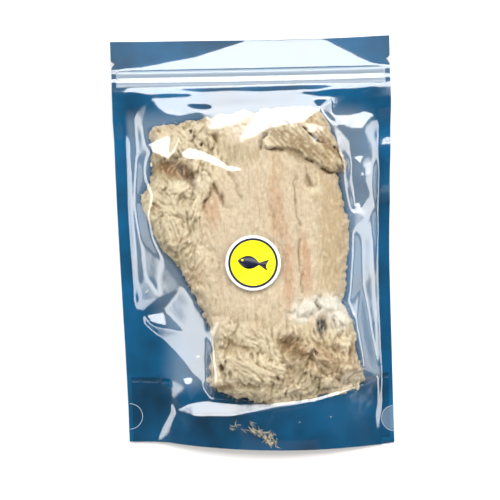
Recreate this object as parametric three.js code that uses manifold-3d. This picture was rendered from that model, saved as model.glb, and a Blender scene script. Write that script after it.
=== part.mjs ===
// Dried, butterflied snakehead sealed in a clear stand-up zip pouch.
// The filled pouch lies on its back with the clear front up: +Z is up, the zip end points to +Y and
// the bottom gusset to -Y. Millimetres. The film is drawn as the solid that film and fish fill together,
// and the round sticker on its front is a thin disc that follows the film.

import * as THREE from 'three';
import { mergeVertices } from 'three/addons/utils/BufferGeometryUtils.js';
import Module from 'manifold-3d';

const { clamp, lerp, smoothstep } = THREE.MathUtils;
const wasm = await Module();
wasm.setup();

// Outline of the lying pouch: a 160 x 240 mm pouch, drawn in by its filling.
const TOP_HALF_WIDTH = 80;
const BOTTOM_HALF_WIDTH = 77;
const NARROWING = { left: { from: -120, to: 60 }, right: { from: -25, to: 90 } };
const LENGTH = 233;
const TOP_SHEAR = 0.8;
const BOTTOM_SHEAR = 2.4;
const BOTTOM_BOW = 5.5;

// Welded edges, zip and tear notches.
const WELD_THICKNESS = 0.8;
const SIDE_WELD_WIDTH = 6.5;
const CORNER_WELD_REACH = 20;
const ZIP_RIDGES = [
  { drop: 18.6, halfWidth: 1.8, height: 1.3 },
  { drop: 23.6, halfWidth: 2.2, height: 0.7 },
];
const RIDGE_ROWS = [-1, -0.5, 0, 0.5, 1];
const ZIP_DROP = 27;
const NOTCH = { drop: 13, depth: 2.2, halfWidth: 1.3, tall: 30 };

// Bottom gusset: the front lip stands open over the back panel and folds inwards.
const LIP_HEIGHT = 8;
const LIP_HALF_WIDTH = 64;
const LIP_FADE = 34;
const GUSSET_DEPTH = { middle: 25, side: 36 };
const GUSSET_FOLD_HEIGHT = 7;
const GUSSET_WALL = 0.8;
const GUSSET_OVERRUN = 3;
const GUSSET_SPAN = 0.74;
const GUSSET_COLUMNS = 16;
const GUSSET_ROWS = 6;
const FOLD_THICKNESS = 0.05;

// Back panel: flat where it rests, lifted to the zip by the filling, falling again along the header,
// and curling up at the sides and the toe.
const ZIP_LIFT = { height: 6, start: 0.74, crest: 0.875, lossAtSides: 0.5 };
const SIDE_CURL = { height: 1.6, start: 0.74 };
const TOE_CURL = { height: 1, end: 0.07 };
// Buckles of the side welds, each with the height of its crest line along the pouch.
const BUCKLES = [
  { side: 1, y: 77, height: 1.8 },
  { side: 1, y: 51, height: 2 },
  { side: 1, y: 21, height: 1.8 },
  { side: -1, y: 71, height: 1.8 },
];
const BUCKLE_LENGTH = 7;

// The fish under the film. The rim is the line where the film leaves the fish, as x, y and height.
const RIM = [
  [-58, 66, 8], [-30, 73, 9], [0, 76, 9], [30, 77, 10], [46, 62, 13], [54, 40, 13], [53, 5, 11],
  [52, -30, 11], [57, -66, 14], [60, -82, 15], [38, -91, 17], [10, -96, 18], [-18, -98, 16],
  [-38, -97, 12], [-33, -83, 12], [-29, -55, 11], [-40, -26, 9], [-56, -4, 9], [-64, 18, 8], [-60, 45, 8],
];
const RIM_STEPS = 160;
const CROWN_HEIGHT = 20;
const SHOULDER = 26;
const LUMP_SHOULDER = 13;
// Folded flaps and ragged lumps that stand above the crown.
const LUMPS = [
  { x: 22, y: 54, radius: 20, height: 3 },
  { x: -40, y: 50, radius: 17, height: 2.5 },
  { x: 12, y: -68, radius: 22, height: 3.5 },
  { x: 40, y: -45, radius: 12, height: 2.5 },
];

// Round sticker.
const LABEL = { x: -1.8, y: -11.5, radius: 15.5, thickness: 0.3, gap: 0.35, rings: 4, sides: 40 };

// Grid of the film's surface, and of the surface below the back panel.
const FILM_COLUMNS = 42;
const FILM_ROWS = 62;
const HEADER_ROWS = 4;
const BACK_COLUMNS = 22;
const BACK_ROWS = 48;
const BACK_MARGIN = 0.06;
const BELOW = -12;

// Half width of the panel on the side that x or u lies, at the height y.
function halfWidth(side, y) {
  const { from, to } = side < 0 ? NARROWING.left : NARROWING.right;
  return lerp(BOTTOM_HALF_WIDTH, TOP_HALF_WIDTH, smoothstep(y, from, to));
}

const topEdge = (u) => LENGTH / 2 - TOP_SHEAR * u;
const bottomEdge = (u) => -LENGTH / 2 - BOTTOM_SHEAR * u - BOTTOM_BOW * Math.max(0, 1 - u * u);
const stationOfDrop = (drop) => 1 - drop / LENGTH;

// Point of the panel at u across (-1 to 1) and station s from the bottom edge (0) to the top edge (1).
function panelPoint(u, s) {
  const y = lerp(bottomEdge(u), topEdge(u), s);
  return new THREE.Vector2(u * halfWidth(u, y), y);
}

function panelStation(x, y) {
  const u = x / halfWidth(x, y);
  return { u, s: (y - bottomEdge(u)) / (topEdge(u) - bottomEdge(u)) };
}

const rimCurve = new THREE.CatmullRomCurve3(RIM.map((point) => new THREE.Vector3(...point)), true);
const rimPoints = rimCurve.getSpacedPoints(RIM_STEPS).slice(0, RIM_STEPS);

// Distance from the rim, the rim's height at its nearest point, and whether the fish lies below.
function rimAt(x, y) {
  let distance = Infinity;
  let height = 0;
  let inside = false;
  rimPoints.forEach((point, i) => {
    const next = rimPoints[(i + 1) % RIM_STEPS];
    const away = Math.hypot(point.x - x, point.y - y);
    if (away < distance) {
      distance = away;
      height = point.z;
    }
    const crosses = point.y > y !== next.y > y;
    if (crosses && x < point.x + ((next.x - point.x) * (y - point.y)) / (next.y - point.y)) {
      inside = !inside;
    }
  });
  return { distance, height, inside };
}

// Height of the back panel's underside.
function backHeight(x, y) {
  const { u, s } = panelStation(x, y);
  const sideways = smoothstep(Math.abs(u), SIDE_CURL.start, 1);
  const climb = smoothstep(s, ZIP_LIFT.start, ZIP_LIFT.crest);
  const fall = clamp((1 - s) / (1 - ZIP_LIFT.crest), 0, 1);
  const lift = ZIP_LIFT.height * climb * fall * (1 - ZIP_LIFT.lossAtSides * clamp(u ** 4, 0, 1));
  const toe = clamp(1 - s / TOE_CURL.end, 0, 1) ** 2;
  let buckle = 0;
  for (const { side, y: crest, height } of BUCKLES) {
    if (side * u > 0) {
      buckle += height * sideways * Math.exp(-(((y - crest) / BUCKLE_LENGTH) ** 2));
    }
  }
  return SIDE_CURL.height * sideways + lift + TOE_CURL.height * toe + buckle;
}

// How far the pouch's bottom stands open across its width, from 0 at the corners to 1 in the middle.
const openness = (x) => Math.max(0, 1 - (x / LIP_HALF_WIDTH) ** 2);

// Height that the front lip stands open above the back panel, at a distance from the bottom edge.
function lipHeight(x, toBottom) {
  return LIP_HEIGHT * openness(x) * (1 - smoothstep(toBottom, 0, LIP_FADE));
}

function zipHeight(s) {
  let height = 0;
  for (const ridge of ZIP_RIDGES) {
    const offset = ((s - stationOfDrop(ridge.drop)) * LENGTH) / ridge.halfWidth;
    height += ridge.height * Math.max(0, 1 - offset * offset);
  }
  return height;
}

// Height of the front film: taut between the welds, the zip, the gusset lip and the fish's rim.
function filmHeight(x, y) {
  const { u, s } = panelStation(x, y);
  const toSide = (1 - Math.abs(u)) * halfWidth(u, y) - SIDE_WELD_WIDTH;
  const toBottom = s * LENGTH;
  const toZip = (stationOfDrop(ZIP_DROP) - s) * LENGTH;
  const toCorner = (toSide + toBottom - CORNER_WELD_REACH) / Math.SQRT2;
  const toWeld = Math.max(0, Math.min(toSide, toBottom, toZip, toCorner));
  const rim = rimAt(x, y);
  const lip = toSide > 0 ? lipHeight(x, toBottom) : 0;
  let rise = lip + ((rim.height - lip) * toWeld) / (toWeld + rim.distance);
  if (rim.inside) {
    rise = lerp(rim.height, CROWN_HEIGHT, smoothstep(rim.distance, 0, SHOULDER));
    for (const lump of LUMPS) {
      const away = Math.hypot(x - lump.x, y - lump.y) / lump.radius;
      rise += lump.height * Math.exp(-away * away) * smoothstep(rim.distance, 0, LUMP_SHOULDER);
    }
  }
  return backHeight(x, y) + WELD_THICKNESS + rise + zipHeight(s);
}

function toManifold(geometry) {
  geometry.deleteAttribute('normal');
  geometry.deleteAttribute('uv');
  const merged = mergeVertices(geometry);
  const vertProperties = new Float32Array(merged.attributes.position.array);
  const triVerts = new Uint32Array(merged.index.array);
  return new wasm.Manifold(new wasm.Mesh({ numProp: 3, vertProperties, triVerts }));
}

function toGeometry(solid) {
  const { vertProperties, triVerts } = solid.getMesh();
  const geometry = new THREE.BufferGeometry();
  geometry.setAttribute('position', new THREE.BufferAttribute(vertProperties, 3));
  geometry.setIndex(new THREE.BufferAttribute(triVerts, 1));
  geometry.computeVertexNormals();
  return geometry;
}

// Solid between two height functions over a grid of panel stations.
function slab(across, along, lower, upper) {
  const columns = across.length - 1;
  const rows = along.length - 1;
  const geometry = new THREE.BoxGeometry(columns, rows, 1, columns, rows, 1);
  const position = geometry.attributes.position;
  for (let i = 0; i < position.count; i += 1) {
    const u = across[position.getX(i) + columns / 2];
    const s = along[position.getY(i) + rows / 2];
    const { x, y } = panelPoint(u, s);
    position.setXYZ(i, x, y, position.getZ(i) > 0 ? upper(x, y) : lower(x, y));
  }
  return toManifold(geometry);
}

function evenSteps(from, to, count) {
  return Array.from({ length: count + 1 }, (_, i) => lerp(from, to, i / count));
}

// Stations of the film's rows: even up the body, then close together over the zip ridges.
function filmRows() {
  const body = evenSteps(0, stationOfDrop(ZIP_DROP), FILM_ROWS);
  const ridges = ZIP_RIDGES.flatMap(({ drop, halfWidth: half }) =>
    RIDGE_ROWS.map((offset) => stationOfDrop(drop + offset * half)));
  const header = evenSteps(stationOfDrop(NOTCH.drop), 1, HEADER_ROWS);
  return [...body, ...ridges, ...header].sort((a, b) => a - b);
}

// Columns across the panel, with one on the inner line of each side weld.
function filmColumns() {
  const inner = 1 - SIDE_WELD_WIDTH / BOTTOM_HALF_WIDTH;
  return [-1, ...evenSteps(-inner, inner, FILM_COLUMNS), 1];
}

// How far a point of the gusset lies from the bottom edge (0) to the gusset's fold (1).
function gussetReach(x, y) {
  const { u, s } = panelStation(x, y);
  return (s * LENGTH) / lerp(GUSSET_DEPTH.middle, GUSSET_DEPTH.side, u * u);
}

// Wedge of air between the gusset's two leaves, open at the bottom edge and closed at the fold,
// which the fish's end holds at half height.
function gussetPocket() {
  const across = evenSteps(-GUSSET_SPAN, GUSSET_SPAN, GUSSET_COLUMNS);
  const along = evenSteps(-GUSSET_OVERRUN / LENGTH, GUSSET_DEPTH.middle / LENGTH, GUSSET_ROWS);
  const lower = (x, y) => {
    const reach = Math.max(0, gussetReach(x, y));
    return backHeight(x, y) + GUSSET_WALL + GUSSET_FOLD_HEIGHT * openness(x) * reach;
  };
  const upper = (x, y) => {
    const open = LIP_HEIGHT * openness(x) - GUSSET_WALL;
    return lower(x, y) + Math.max(FOLD_THICKNESS, open * (1 - gussetReach(x, y)));
  };
  return slab(across, along, lower, upper);
}

// Small V cut in a side weld, where the pouch is torn open.
function tearNotch(side) {
  const { x, y } = panelPoint(side, stationOfDrop(NOTCH.drop));
  const shape = new THREE.Shape();
  shape.moveTo(x - side * NOTCH.depth, y);
  shape.lineTo(x + side * NOTCH.depth, y + 2 * NOTCH.halfWidth);
  shape.lineTo(x + side * NOTCH.depth, y - 2 * NOTCH.halfWidth);
  const geometry = new THREE.ExtrudeGeometry(shape, { depth: NOTCH.tall, bevelEnabled: false });
  geometry.translate(0, 0, -NOTCH.tall / 2);
  return toManifold(geometry);
}

function pouchGeometry() {
  const below = () => BELOW;
  const filled = slab(filmColumns(), filmRows(), below, filmHeight);
  const backColumns = evenSteps(-1 - BACK_MARGIN, 1 + BACK_MARGIN, BACK_COLUMNS);
  const backRows = evenSteps(-BACK_MARGIN, 1 + BACK_MARGIN, BACK_ROWS);
  const ground = slab(backColumns, backRows, () => BELOW * 2, backHeight);
  const cuts = [ground, gussetPocket(), tearNotch(-1), tearNotch(1)];
  return toGeometry(cuts.reduce((solid, cut) => solid.subtract(cut), filled));
}

function labelGeometry() {
  const { x, y, radius, thickness, gap, rings, sides } = LABEL;
  const radii = evenSteps(0, radius, rings);
  const lower = radii.map((r) => new THREE.Vector2(r, 0));
  const upper = radii.map((r) => new THREE.Vector2(r, thickness)).reverse();
  const geometry = new THREE.LatheGeometry([...lower, ...upper], sides);
  geometry.rotateX(Math.PI / 2);
  geometry.translate(x, y, gap);
  const position = geometry.attributes.position;
  for (let i = 0; i < position.count; i += 1) {
    position.setZ(i, position.getZ(i) + filmHeight(position.getX(i), position.getY(i)));
  }
  geometry.computeVertexNormals();
  return geometry;
}

function namedMesh(name, geometry, color, roughness) {
  const mesh = new THREE.Mesh(geometry, new THREE.MeshStandardMaterial({ color, roughness, metalness: 0 }));
  mesh.name = name;
  return mesh;
}

const part = new THREE.Group();
part.add(namedMesh('pouch', pouchGeometry(), '#d9cbab', 0.2));
part.add(namedMesh('label', labelGeometry(), '#f2df2e', 0.35));

// The origin is the middle of the box that the pouch fills, on the surface it rests on.
const middle = new THREE.Box3().setFromObject(part, true).getCenter(new THREE.Vector3());
part.position.set(-middle.x, -middle.y, 0);

export default part;
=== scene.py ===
"""Dried, butterflied snakehead in a clear-fronted stand-up zip pouch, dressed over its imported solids.

The pouch lies on its back, front up. Shapes are worked out in millimetres and stored in metres.
"""
import logging
import math
from dataclasses import dataclass, field
from enum import Enum

import bmesh
import bpy
import numpy as np
from mathutils import Euler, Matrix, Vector
from mathutils.bvhtree import BVHTree
from mathutils.geometry import delaunay_2d_cdt

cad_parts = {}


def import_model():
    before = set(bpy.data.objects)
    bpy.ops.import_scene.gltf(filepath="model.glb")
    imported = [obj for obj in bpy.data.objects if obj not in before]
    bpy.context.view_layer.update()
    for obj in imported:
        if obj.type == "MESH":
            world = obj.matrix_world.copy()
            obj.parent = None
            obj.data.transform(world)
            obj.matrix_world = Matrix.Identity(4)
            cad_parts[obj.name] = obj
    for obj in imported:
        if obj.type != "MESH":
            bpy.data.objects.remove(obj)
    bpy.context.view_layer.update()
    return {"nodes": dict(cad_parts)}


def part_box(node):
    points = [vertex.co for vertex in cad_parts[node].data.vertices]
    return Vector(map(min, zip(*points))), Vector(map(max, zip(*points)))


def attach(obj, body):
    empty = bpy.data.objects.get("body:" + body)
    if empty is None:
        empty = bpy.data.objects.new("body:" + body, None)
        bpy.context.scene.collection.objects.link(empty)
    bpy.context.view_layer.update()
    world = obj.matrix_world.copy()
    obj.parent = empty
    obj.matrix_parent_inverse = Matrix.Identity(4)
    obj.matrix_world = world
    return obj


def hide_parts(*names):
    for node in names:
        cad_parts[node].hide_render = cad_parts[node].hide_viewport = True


LOG = logging.getLogger("dried_snakehead")
MM = 0.001
BODY = "root"

# Point attributes that the finishes read.
# The film's milkiness: its haze, and painted sheen that stands for its reflections beside the fish and above
# the zip.
HAZE_AND_SHEEN = "film_haze_and_painted_sheen"
TINT = "flesh_tint"
FUZZ = "fuzz"

# Noise: cells of the gradient table, the gain that brings it to about 1, and the strokes that draw it out.
NOISE_CELLS = 128
NOISE_GAIN = 1.5
STROKES = 9

# Level that vertical search lines start from, in millimetres above or below the pouch.
FAR = 500.0

Array = np.ndarray
Span = tuple[float, float]
Points = list[tuple[float, ...]]
Material = bpy.types.Material
Piece = bpy.types.Object
Tree = bpy.types.NodeTree
Socket = bpy.types.NodeSocket

# Edge of the fish, seen from above.
FISH_OUTLINE: Points = [
    (-59.2, 69.4), (-40.8, 72.8), (-12.2, 77), (16.3, 78.9), (37.9, 78.2), (47.1, 62), (54.5, 43.1),
    (49.3, 40.4), (51.7, 25), (54, 7.8), (51.4, -26.4), (49.4, -34.9), (54.3, -42.5), (57.7, -66.7),
    (61.5, -83.6), (44, -88.6), (14, -93), (-11.7, -88.4), (-28.7, -81.4), (-29.5, -71),
    (-27.2, -52.7), (-33, -35.3), (-38.3, -24.8), (-46.4, -9.1), (-54.7, -0.3), (-61.1, 14.2),
    (-66.3, 28.7), (-60.2, 41), (-58.5, 56.9),
]


def linear(hex_color: str) -> tuple[float, float, float, float]:
    """Turn an sRGB hex value into linear RGBA.

    Args:
        hex_color: Colour such as "#d8c49a".

    Returns:
        Linear red, green, blue and an alpha of 1.
    """
    channels = [int(hex_color[i:i + 2], 16) / 255 for i in (1, 3, 5)]
    curve = [c / 12.92 if c <= 0.04045 else ((c + 0.055) / 1.055) ** 2.4 for c in channels]
    return (*curve, 1.0)


def fill(tree: Tree, node: bpy.types.Node, settings: dict) -> None:
    """Set a node's properties, inputs and links.

    Args:
        tree: Shader or geometry node tree.
        node: Node of the tree.
        settings: Properties with their values, and input names or numbers with values or with the output
            sockets that feed them.
    """
    for key, value in settings.items():
        if isinstance(key, str) and key not in node.inputs:
            setattr(node, key, value)
    for key, value in settings.items():
        if isinstance(value, Socket):
            tree.links.new(value, node.inputs[key])
        elif isinstance(key, int) or key in node.inputs:
            node.inputs[key].default_value = value


def add_node(tree: Tree, kind: str, settings: dict | None = None) -> bpy.types.Node:
    """Add one node with its settings and links.

    Args:
        tree: Shader or geometry node tree.
        kind: Blender's identifier of the node.
        settings: Properties, inputs and links, as fill takes them.

    Returns:
        The new node.
    """
    node = tree.nodes.new(kind)
    fill(tree, node, settings or {})
    return node


def calc(tree: Tree, operation: str, first: Socket, second: Socket | float = 0.0) -> Socket:
    """Add a math node and give its value."""
    return add_node(tree, "ShaderNodeMath", {"operation": operation, 0: first, 1: second}).outputs[0]


def blend(tree: Tree, share: Socket | float, first: Socket, second: Socket) -> Socket:
    """Mix two shaders by the second one's share."""
    return add_node(tree, "ShaderNodeMixShader", {0: share, 1: first, 2: second}).outputs[0]


def own_places(tree: Tree) -> Socket:
    """Coordinates of the piece itself."""
    return add_node(tree, "ShaderNodeTexCoord").outputs["Object"]


def grain(tree: Tree, places: Socket, cell_mm: float, **settings: float) -> Socket:
    """Add noise whose cells measure millimetres and give its value."""
    settings = {"Scale": 1 / (cell_mm * MM), "Vector": places, **settings}
    return add_node(tree, "ShaderNodeTexNoise", settings).outputs["Fac"]


def bump(tree: Tree, height: Socket, strength: float, depth_mm: float) -> Socket:
    """Add a bump of a depth in millimetres and give its normal."""
    settings = {"Strength": strength, "Distance": depth_mm * MM, "Height": height}
    return add_node(tree, "ShaderNodeBump", settings).outputs[0]


def new_finish(name: str) -> Material:
    """Start a material that has a surface shader.

    Args:
        name: Name of the real material.

    Returns:
        The new material.
    """
    material = bpy.data.materials.new(name)
    material.use_nodes = True
    return material


def dress(material: Material, settings: dict) -> Material:
    """Set the surface shader's inputs and links."""
    fill(material.node_tree, material.node_tree.nodes["Principled BSDF"], settings)
    return material


def smoothstep(value: Array, low: float, high: float) -> Array:
    """Ease from 0 at low to 1 at high."""
    t = np.clip((value - low) / (high - low), 0.0, 1.0)
    return t * t * (3.0 - 2.0 * t)


def mix(a: Array, b: Array, share: Array) -> Array:
    """Blend from a to b."""
    return a + (b - a) * share


def perlin(x: Array, y: Array, seed: int) -> Array:
    """Gradient noise on a plane.

    Args:
        x: Coordinates in noise cells.
        y: Coordinates in noise cells.
        seed: Fixed seed of the gradients.

    Returns:
        Noise between about -1 and 1.
    """
    angles = np.random.default_rng(seed).uniform(0.0, 2.0 * math.pi, (NOISE_CELLS, NOISE_CELLS))
    column, row = np.floor(x).astype(int), np.floor(y).astype(int)
    dx, dy = x - column, y - row

    def corner(right: int, up: int) -> Array:
        """Gradient of one cell corner at the point."""
        angle = angles[(column + right) % NOISE_CELLS, (row + up) % NOISE_CELLS]
        return np.cos(angle) * (dx - right) + np.sin(angle) * (dy - up)

    across, along = (t * t * t * (t * (t * 6 - 15) + 10) for t in (dx, dy))
    low = mix(corner(0, 0), corner(1, 0), across)
    high = mix(corner(0, 1), corner(1, 1), across)
    return NOISE_GAIN * mix(low, high, along)


def fractal(x: Array, y: Array, seed: int, octaves: int = 4) -> Array:
    """Sum gradient noise over octaves.

    Args:
        x: Coordinates in cells of the coarsest octave.
        y: Coordinates in cells of the coarsest octave.
        seed: Fixed seed.
        octaves: How many octaves are added.

    Returns:
        Noise between about -1 and 1.
    """
    total = np.zeros_like(x)
    for octave in range(octaves):
        total += perlin(x * 2 ** octave, y * 2 ** octave, seed + octave) / 2 ** octave
    return total


def combed(x: Array, y: Array, angle: Array, width: float, length: float, seed: int) -> Array:
    """Draw noise out along a direction, as fibre lies.

    Args:
        x: Places across, in millimetres.
        y: Places along, in millimetres.
        angle: Direction of the fibre at each place, in radians.
        width: Cell of the noise in millimetres, about two fibres wide.
        length: Length of a fibre in millimetres.
        seed: Fixed seed.

    Returns:
        Noise with a mean spread of 1.
    """
    total = np.zeros_like(x)
    for stroke in np.linspace(-0.5, 0.5, STROKES) * length:
        total += perlin((x + stroke * np.cos(angle)) / width, (y + stroke * np.sin(angle)) / width, seed)
    return total / total.std()


def line_distance(x: Array, y: Array, line: Points, closed: bool = False) -> Array:
    """Measure distances from points to a line of straight stretches.

    Args:
        x: Point coordinates.
        y: Point coordinates.
        line: Corners of the line, of which the first two numbers count.
        closed: Whether the last corner joins the first.

    Returns:
        Distance of each point from the line.
    """
    nearest = np.full(np.shape(x), np.inf)
    ends = line[1:] + line[:1] if closed else line[1:]
    for (ax, ay, *_), (bx, by, *_) in zip(line, ends):
        length = max((bx - ax) ** 2 + (by - ay) ** 2, 1e-9)
        t = np.clip(((x - ax) * (bx - ax) + (y - ay) * (by - ay)) / length, 0.0, 1.0)
        nearest = np.minimum(nearest, np.hypot(x - ax - t * (bx - ax), y - ay - t * (by - ay)))
    return nearest


def depth_inside(x: Array, y: Array, loop: Points) -> Array:
    """Measure how deep points lie inside a closed line, negative outside.

    Args:
        x: Point coordinates.
        y: Point coordinates.
        loop: Corners of the closed line.

    Returns:
        Signed distance of each point.
    """
    inside = np.zeros(np.shape(x), bool)
    for (ax, ay), (bx, by) in zip(loop, loop[1:] + loop[:1]):
        if ay != by:
            crosses = (ay > y) != (by > y)
            inside ^= crosses & (x < ax + (bx - ax) * (y - ay) / (by - ay))
    distance = line_distance(x, y, loop, closed=True)
    return np.where(inside, distance, -distance)


def rounded_loop(corners: Points, steps: int = 8) -> Points:
    """Draw a smooth closed curve through corners.

    Args:
        corners: Points that the curve passes.
        steps: Points between one corner and the next.

    Returns:
        Points of a closed Catmull-Rom curve.
    """
    knots = np.array(corners, float)
    before, after, later = np.roll(knots, 1, 0), np.roll(knots, -1, 0), np.roll(knots, -2, 0)
    curve = []
    for t in np.arange(steps) / steps:
        curve.append(0.5 * (2 * knots + (after - before) * t
                            + (2 * before - 5 * knots + 4 * after - later) * t * t
                            + (3 * knots - before - 3 * after + later) * t ** 3))
    return [tuple(point) for point in np.stack(curve, 1).reshape(-1, knots.shape[1])]


def blur(values: Array, passes: int) -> Array:
    """Soften a grid of values, each pass with its four neighbours.

    Args:
        values: Grid of values.
        passes: How often the grid is softened.

    Returns:
        The softened grid.
    """
    for _ in range(passes):
        padded = np.pad(values, 1, mode="edge")
        around = padded[:-2, 1:-1] + padded[2:, 1:-1] + padded[1:-1, :-2] + padded[1:-1, 2:]
        values = 0.5 * values + 0.125 * around
    return values


def turned(x: Array, y: Array, degrees: float) -> tuple[Array, Array]:
    """Turn places round the origin."""
    c, s = math.cos(math.radians(degrees)), math.sin(math.radians(degrees))
    return x * c - y * s, x * s + y * c


def drop_on(tree: BVHTree, x: Array, y: Array, start: float) -> Array:
    """Find where vertical lines first meet a surface.

    Args:
        tree: Search tree of the surface's triangles, in millimetres.
        x: Places across, in millimetres.
        y: Places along, in millimetres.
        start: Level that the lines start from, positive to look down and negative to look up.

    Returns:
        Heights in millimetres, 0 where a line meets nothing.
    """
    way = Vector((0.0, 0.0, -math.copysign(1.0, start)))
    found = np.zeros(x.size)
    for i, (px, py) in enumerate(zip(x.ravel(), y.ravel())):
        hit = tree.ray_cast(Vector((px, py, start)), way)[0]
        found[i] = hit.z if hit else 0.0
    return found.reshape(x.shape)


def new_piece(name: str, vertices: Array, faces: list, material: Material, smooth: bool = True) -> Piece:
    """Make a mesh object from millimetre coordinates.

    Args:
        name: Name of the piece.
        vertices: Rows of x, y and z in millimetres.
        faces: Corner numbers of each face.
        material: Finish of the piece.
        smooth: Whether the faces are shaded smooth.

    Returns:
        The object, at the origin.
    """
    mesh = bpy.data.meshes.new(name)
    mesh.from_pydata((np.asarray(vertices, float) * MM).tolist(), [], [list(f) for f in faces])
    mesh.polygons.foreach_set("use_smooth", [smooth] * len(mesh.polygons))
    mesh.materials.append(material)
    mesh.update()
    piece = bpy.data.objects.new(name, mesh)
    bpy.context.scene.collection.objects.link(piece)
    return piece


def grid_faces(rows: int, columns: int) -> Array:
    """Corner numbers of a grid of points, rows upwards, facing +Z."""
    corner = np.arange((rows - 1) * columns).reshape(rows - 1, columns)[:, :-1].ravel()
    return np.stack([corner, corner + 1, corner + columns + 1, corner + columns], 1)


def tube_faces(rings: int, sides: int) -> list[tuple[int, ...]]:
    """Corner numbers of the faces between closed rings of points.

    Args:
        rings: How many rings follow each other.
        sides: How many points each ring has.

    Returns:
        Corner numbers, ring by ring.
    """
    faces = []
    for ring in range(rings - 1):
        near, far = ring * sides, (ring + 1) * sides
        for i in range(sides):
            j = (i + 1) % sides
            faces.append((near + i, far + i, far + j, near + j))
    return faces


def rim_walls(quads: Array, below: int) -> list[tuple[int, ...]]:
    """Walls down from the open rim of a sheet.

    Args:
        quads: Corner numbers of the sheet's faces, facing up.
        below: What is added to a corner's number to get the corner below it.

    Returns:
        Corner numbers of the walls, facing out.
    """
    sides = np.concatenate([quads[:, [i, (i + 1) % 4]] for i in range(4)]).tolist()
    known = {tuple(side) for side in sides}
    return [(b, a, a + below, b + below) for a, b in sides if (b, a) not in known]


def new_slab(name: str, top: Array, under: Array, material: Material) -> Piece:
    """Make a closed thin piece from two grids of places, one above the other.

    Args:
        name: Name of the piece.
        top: Upper places, rows by columns by x, y and z in millimetres.
        under: Lower places in the same layout.
        material: Finish of the piece.

    Returns:
        The object, at the origin, its upper side facing up.
    """
    rows, columns, _ = top.shape
    quads = grid_faces(rows, columns)
    a, b, c = (Vector(top.reshape(-1, 3)[quads[0, i]]) for i in range(3))
    if (b - a).cross(c - a).z < 0:
        quads = quads[:, ::-1]
    faces = quads.tolist() + (quads[:, ::-1] + rows * columns).tolist() + rim_walls(quads, rows * columns)
    return new_piece(name, np.concatenate([top.reshape(-1, 3), under.reshape(-1, 3)]), faces, material)


def new_sheet(name: str, x: Array, y: Array, z: Array, material: Material) -> Piece:
    """Make an open sheet from grids of coordinates in millimetres, rows upwards."""
    faces = grid_faces(*x.shape).tolist()
    return new_piece(name, np.stack([x, y, z], 2).reshape(-1, 3), faces, material)


def add_values(piece: Piece, name: str, values: Array) -> None:
    """Store a number or a colour for each point of a piece.

    Args:
        piece: Piece that carries the values.
        name: Name of the attribute.
        values: A number for each point, or a row of red, green, blue and alpha.
    """
    if values.ndim == 1:
        piece.data.attributes.new(name, "FLOAT", "POINT").data.foreach_set("value", values)
    else:
        layer = piece.data.color_attributes.new(name, "FLOAT_COLOR", "POINT")
        layer.data.foreach_set("color", values.ravel())


@dataclass(frozen=True)
class ClearLaminate:
    """Clear laminate film, PET over cast polythene: thin, tight and glossy.

    The eye sees through it, milky where it stands off the fish's sides, its haze there partly painted sheen,
    with bright mirror patches where facets face a window and a soft bloom round them.
    """

    name: str = "clear_laminate_film"
    mirror_share: float = 0.14  # head-on reflection of all faces of the laminate
    grazing_share: float = 0.6
    grazing_power: float = 5.0
    gloss_roughness: float = 0.05
    bloom_roughness: float = 0.2
    bloom_share: float = 0.25
    veil: str = "#dce8f2"
    ripple_mm: float = 9.0
    ripple_strength: float = 0.3
    ripple_depth_mm: float = 0.5

    def material(self) -> Material:
        """Build the see-through film material.

        Returns:
            The finish, for any piece.
        """
        material = new_finish(self.name)
        tree = material.node_tree
        tree.nodes.clear()
        ripple = grain(tree, own_places(tree), self.ripple_mm, Detail=2.0)
        normal = bump(tree, ripple, self.ripple_strength, self.ripple_depth_mm)
        clear = add_node(tree, "ShaderNodeBsdfTransparent").outputs[0]
        veil = add_node(tree, "ShaderNodeBsdfDiffuse", {"Color": linear(self.veil)}).outputs[0]
        # Share of the milky veil at each point: the film's haze, with painted sheen beside the fish and above
        # the zip.
        milk = add_node(tree, "ShaderNodeAttribute", {"attribute_name": HAZE_AND_SHEEN}).outputs["Fac"]
        shines = []
        for roughness in (self.gloss_roughness, self.bloom_roughness):
            shine = add_node(tree, "ShaderNodeBsdfGlossy", {"Roughness": roughness, "Normal": normal})
            shines.append(shine.outputs[0])
        facing = add_node(tree, "ShaderNodeLayerWeight", {"Blend": 0.5, "Normal": normal}).outputs["Facing"]
        mirror = add_node(tree, "ShaderNodeMapRange",
                          {"Value": calc(tree, "POWER", facing, self.grazing_power),
                           "To Min": self.mirror_share, "To Max": self.grazing_share}).outputs[0]
        body = blend(tree, milk, clear, veil)
        film = blend(tree, mirror, body, blend(tree, self.bloom_share, *shines))
        add_node(tree, "ShaderNodeOutputMaterial", {"Surface": film})
        return material


@dataclass(frozen=True)
class TintedLaminate:
    """Blue laminate film: pigmented polythene under glossy PET, so deep blue with a clear shine."""

    name: str = "blue_laminate_film"
    deep: str = "#033b59"
    light: str = "#045d8b"
    roughness: float = 0.3
    shine: float = 0.2
    cloud_mm: float = 38.0
    cloud_span: Span = (0.35, 0.65)
    grain_mm: float = 1.6
    grain_strength: float = 0.08
    grain_depth_mm: float = 0.1

    def material(self) -> Material:
        """Build the blue film material.

        Returns:
            The finish, for any piece.
        """
        material = new_finish(self.name)
        tree = material.node_tree
        places = own_places(tree)
        tone = add_node(tree, "ShaderNodeValToRGB", {"Fac": grain(tree, places, self.cloud_mm, Detail=3.0)})
        for i, colour in enumerate((self.deep, self.light)):
            tone.color_ramp.elements[i].position = self.cloud_span[i]
            tone.color_ramp.elements[i].color = linear(colour)
        normal = bump(tree, grain(tree, places, self.grain_mm), self.grain_strength, self.grain_depth_mm)
        return dress(material, {"Base Color": tone.outputs[0], "Normal": normal,
                                "Roughness": self.roughness, "Specular IOR Level": self.shine})


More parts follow.
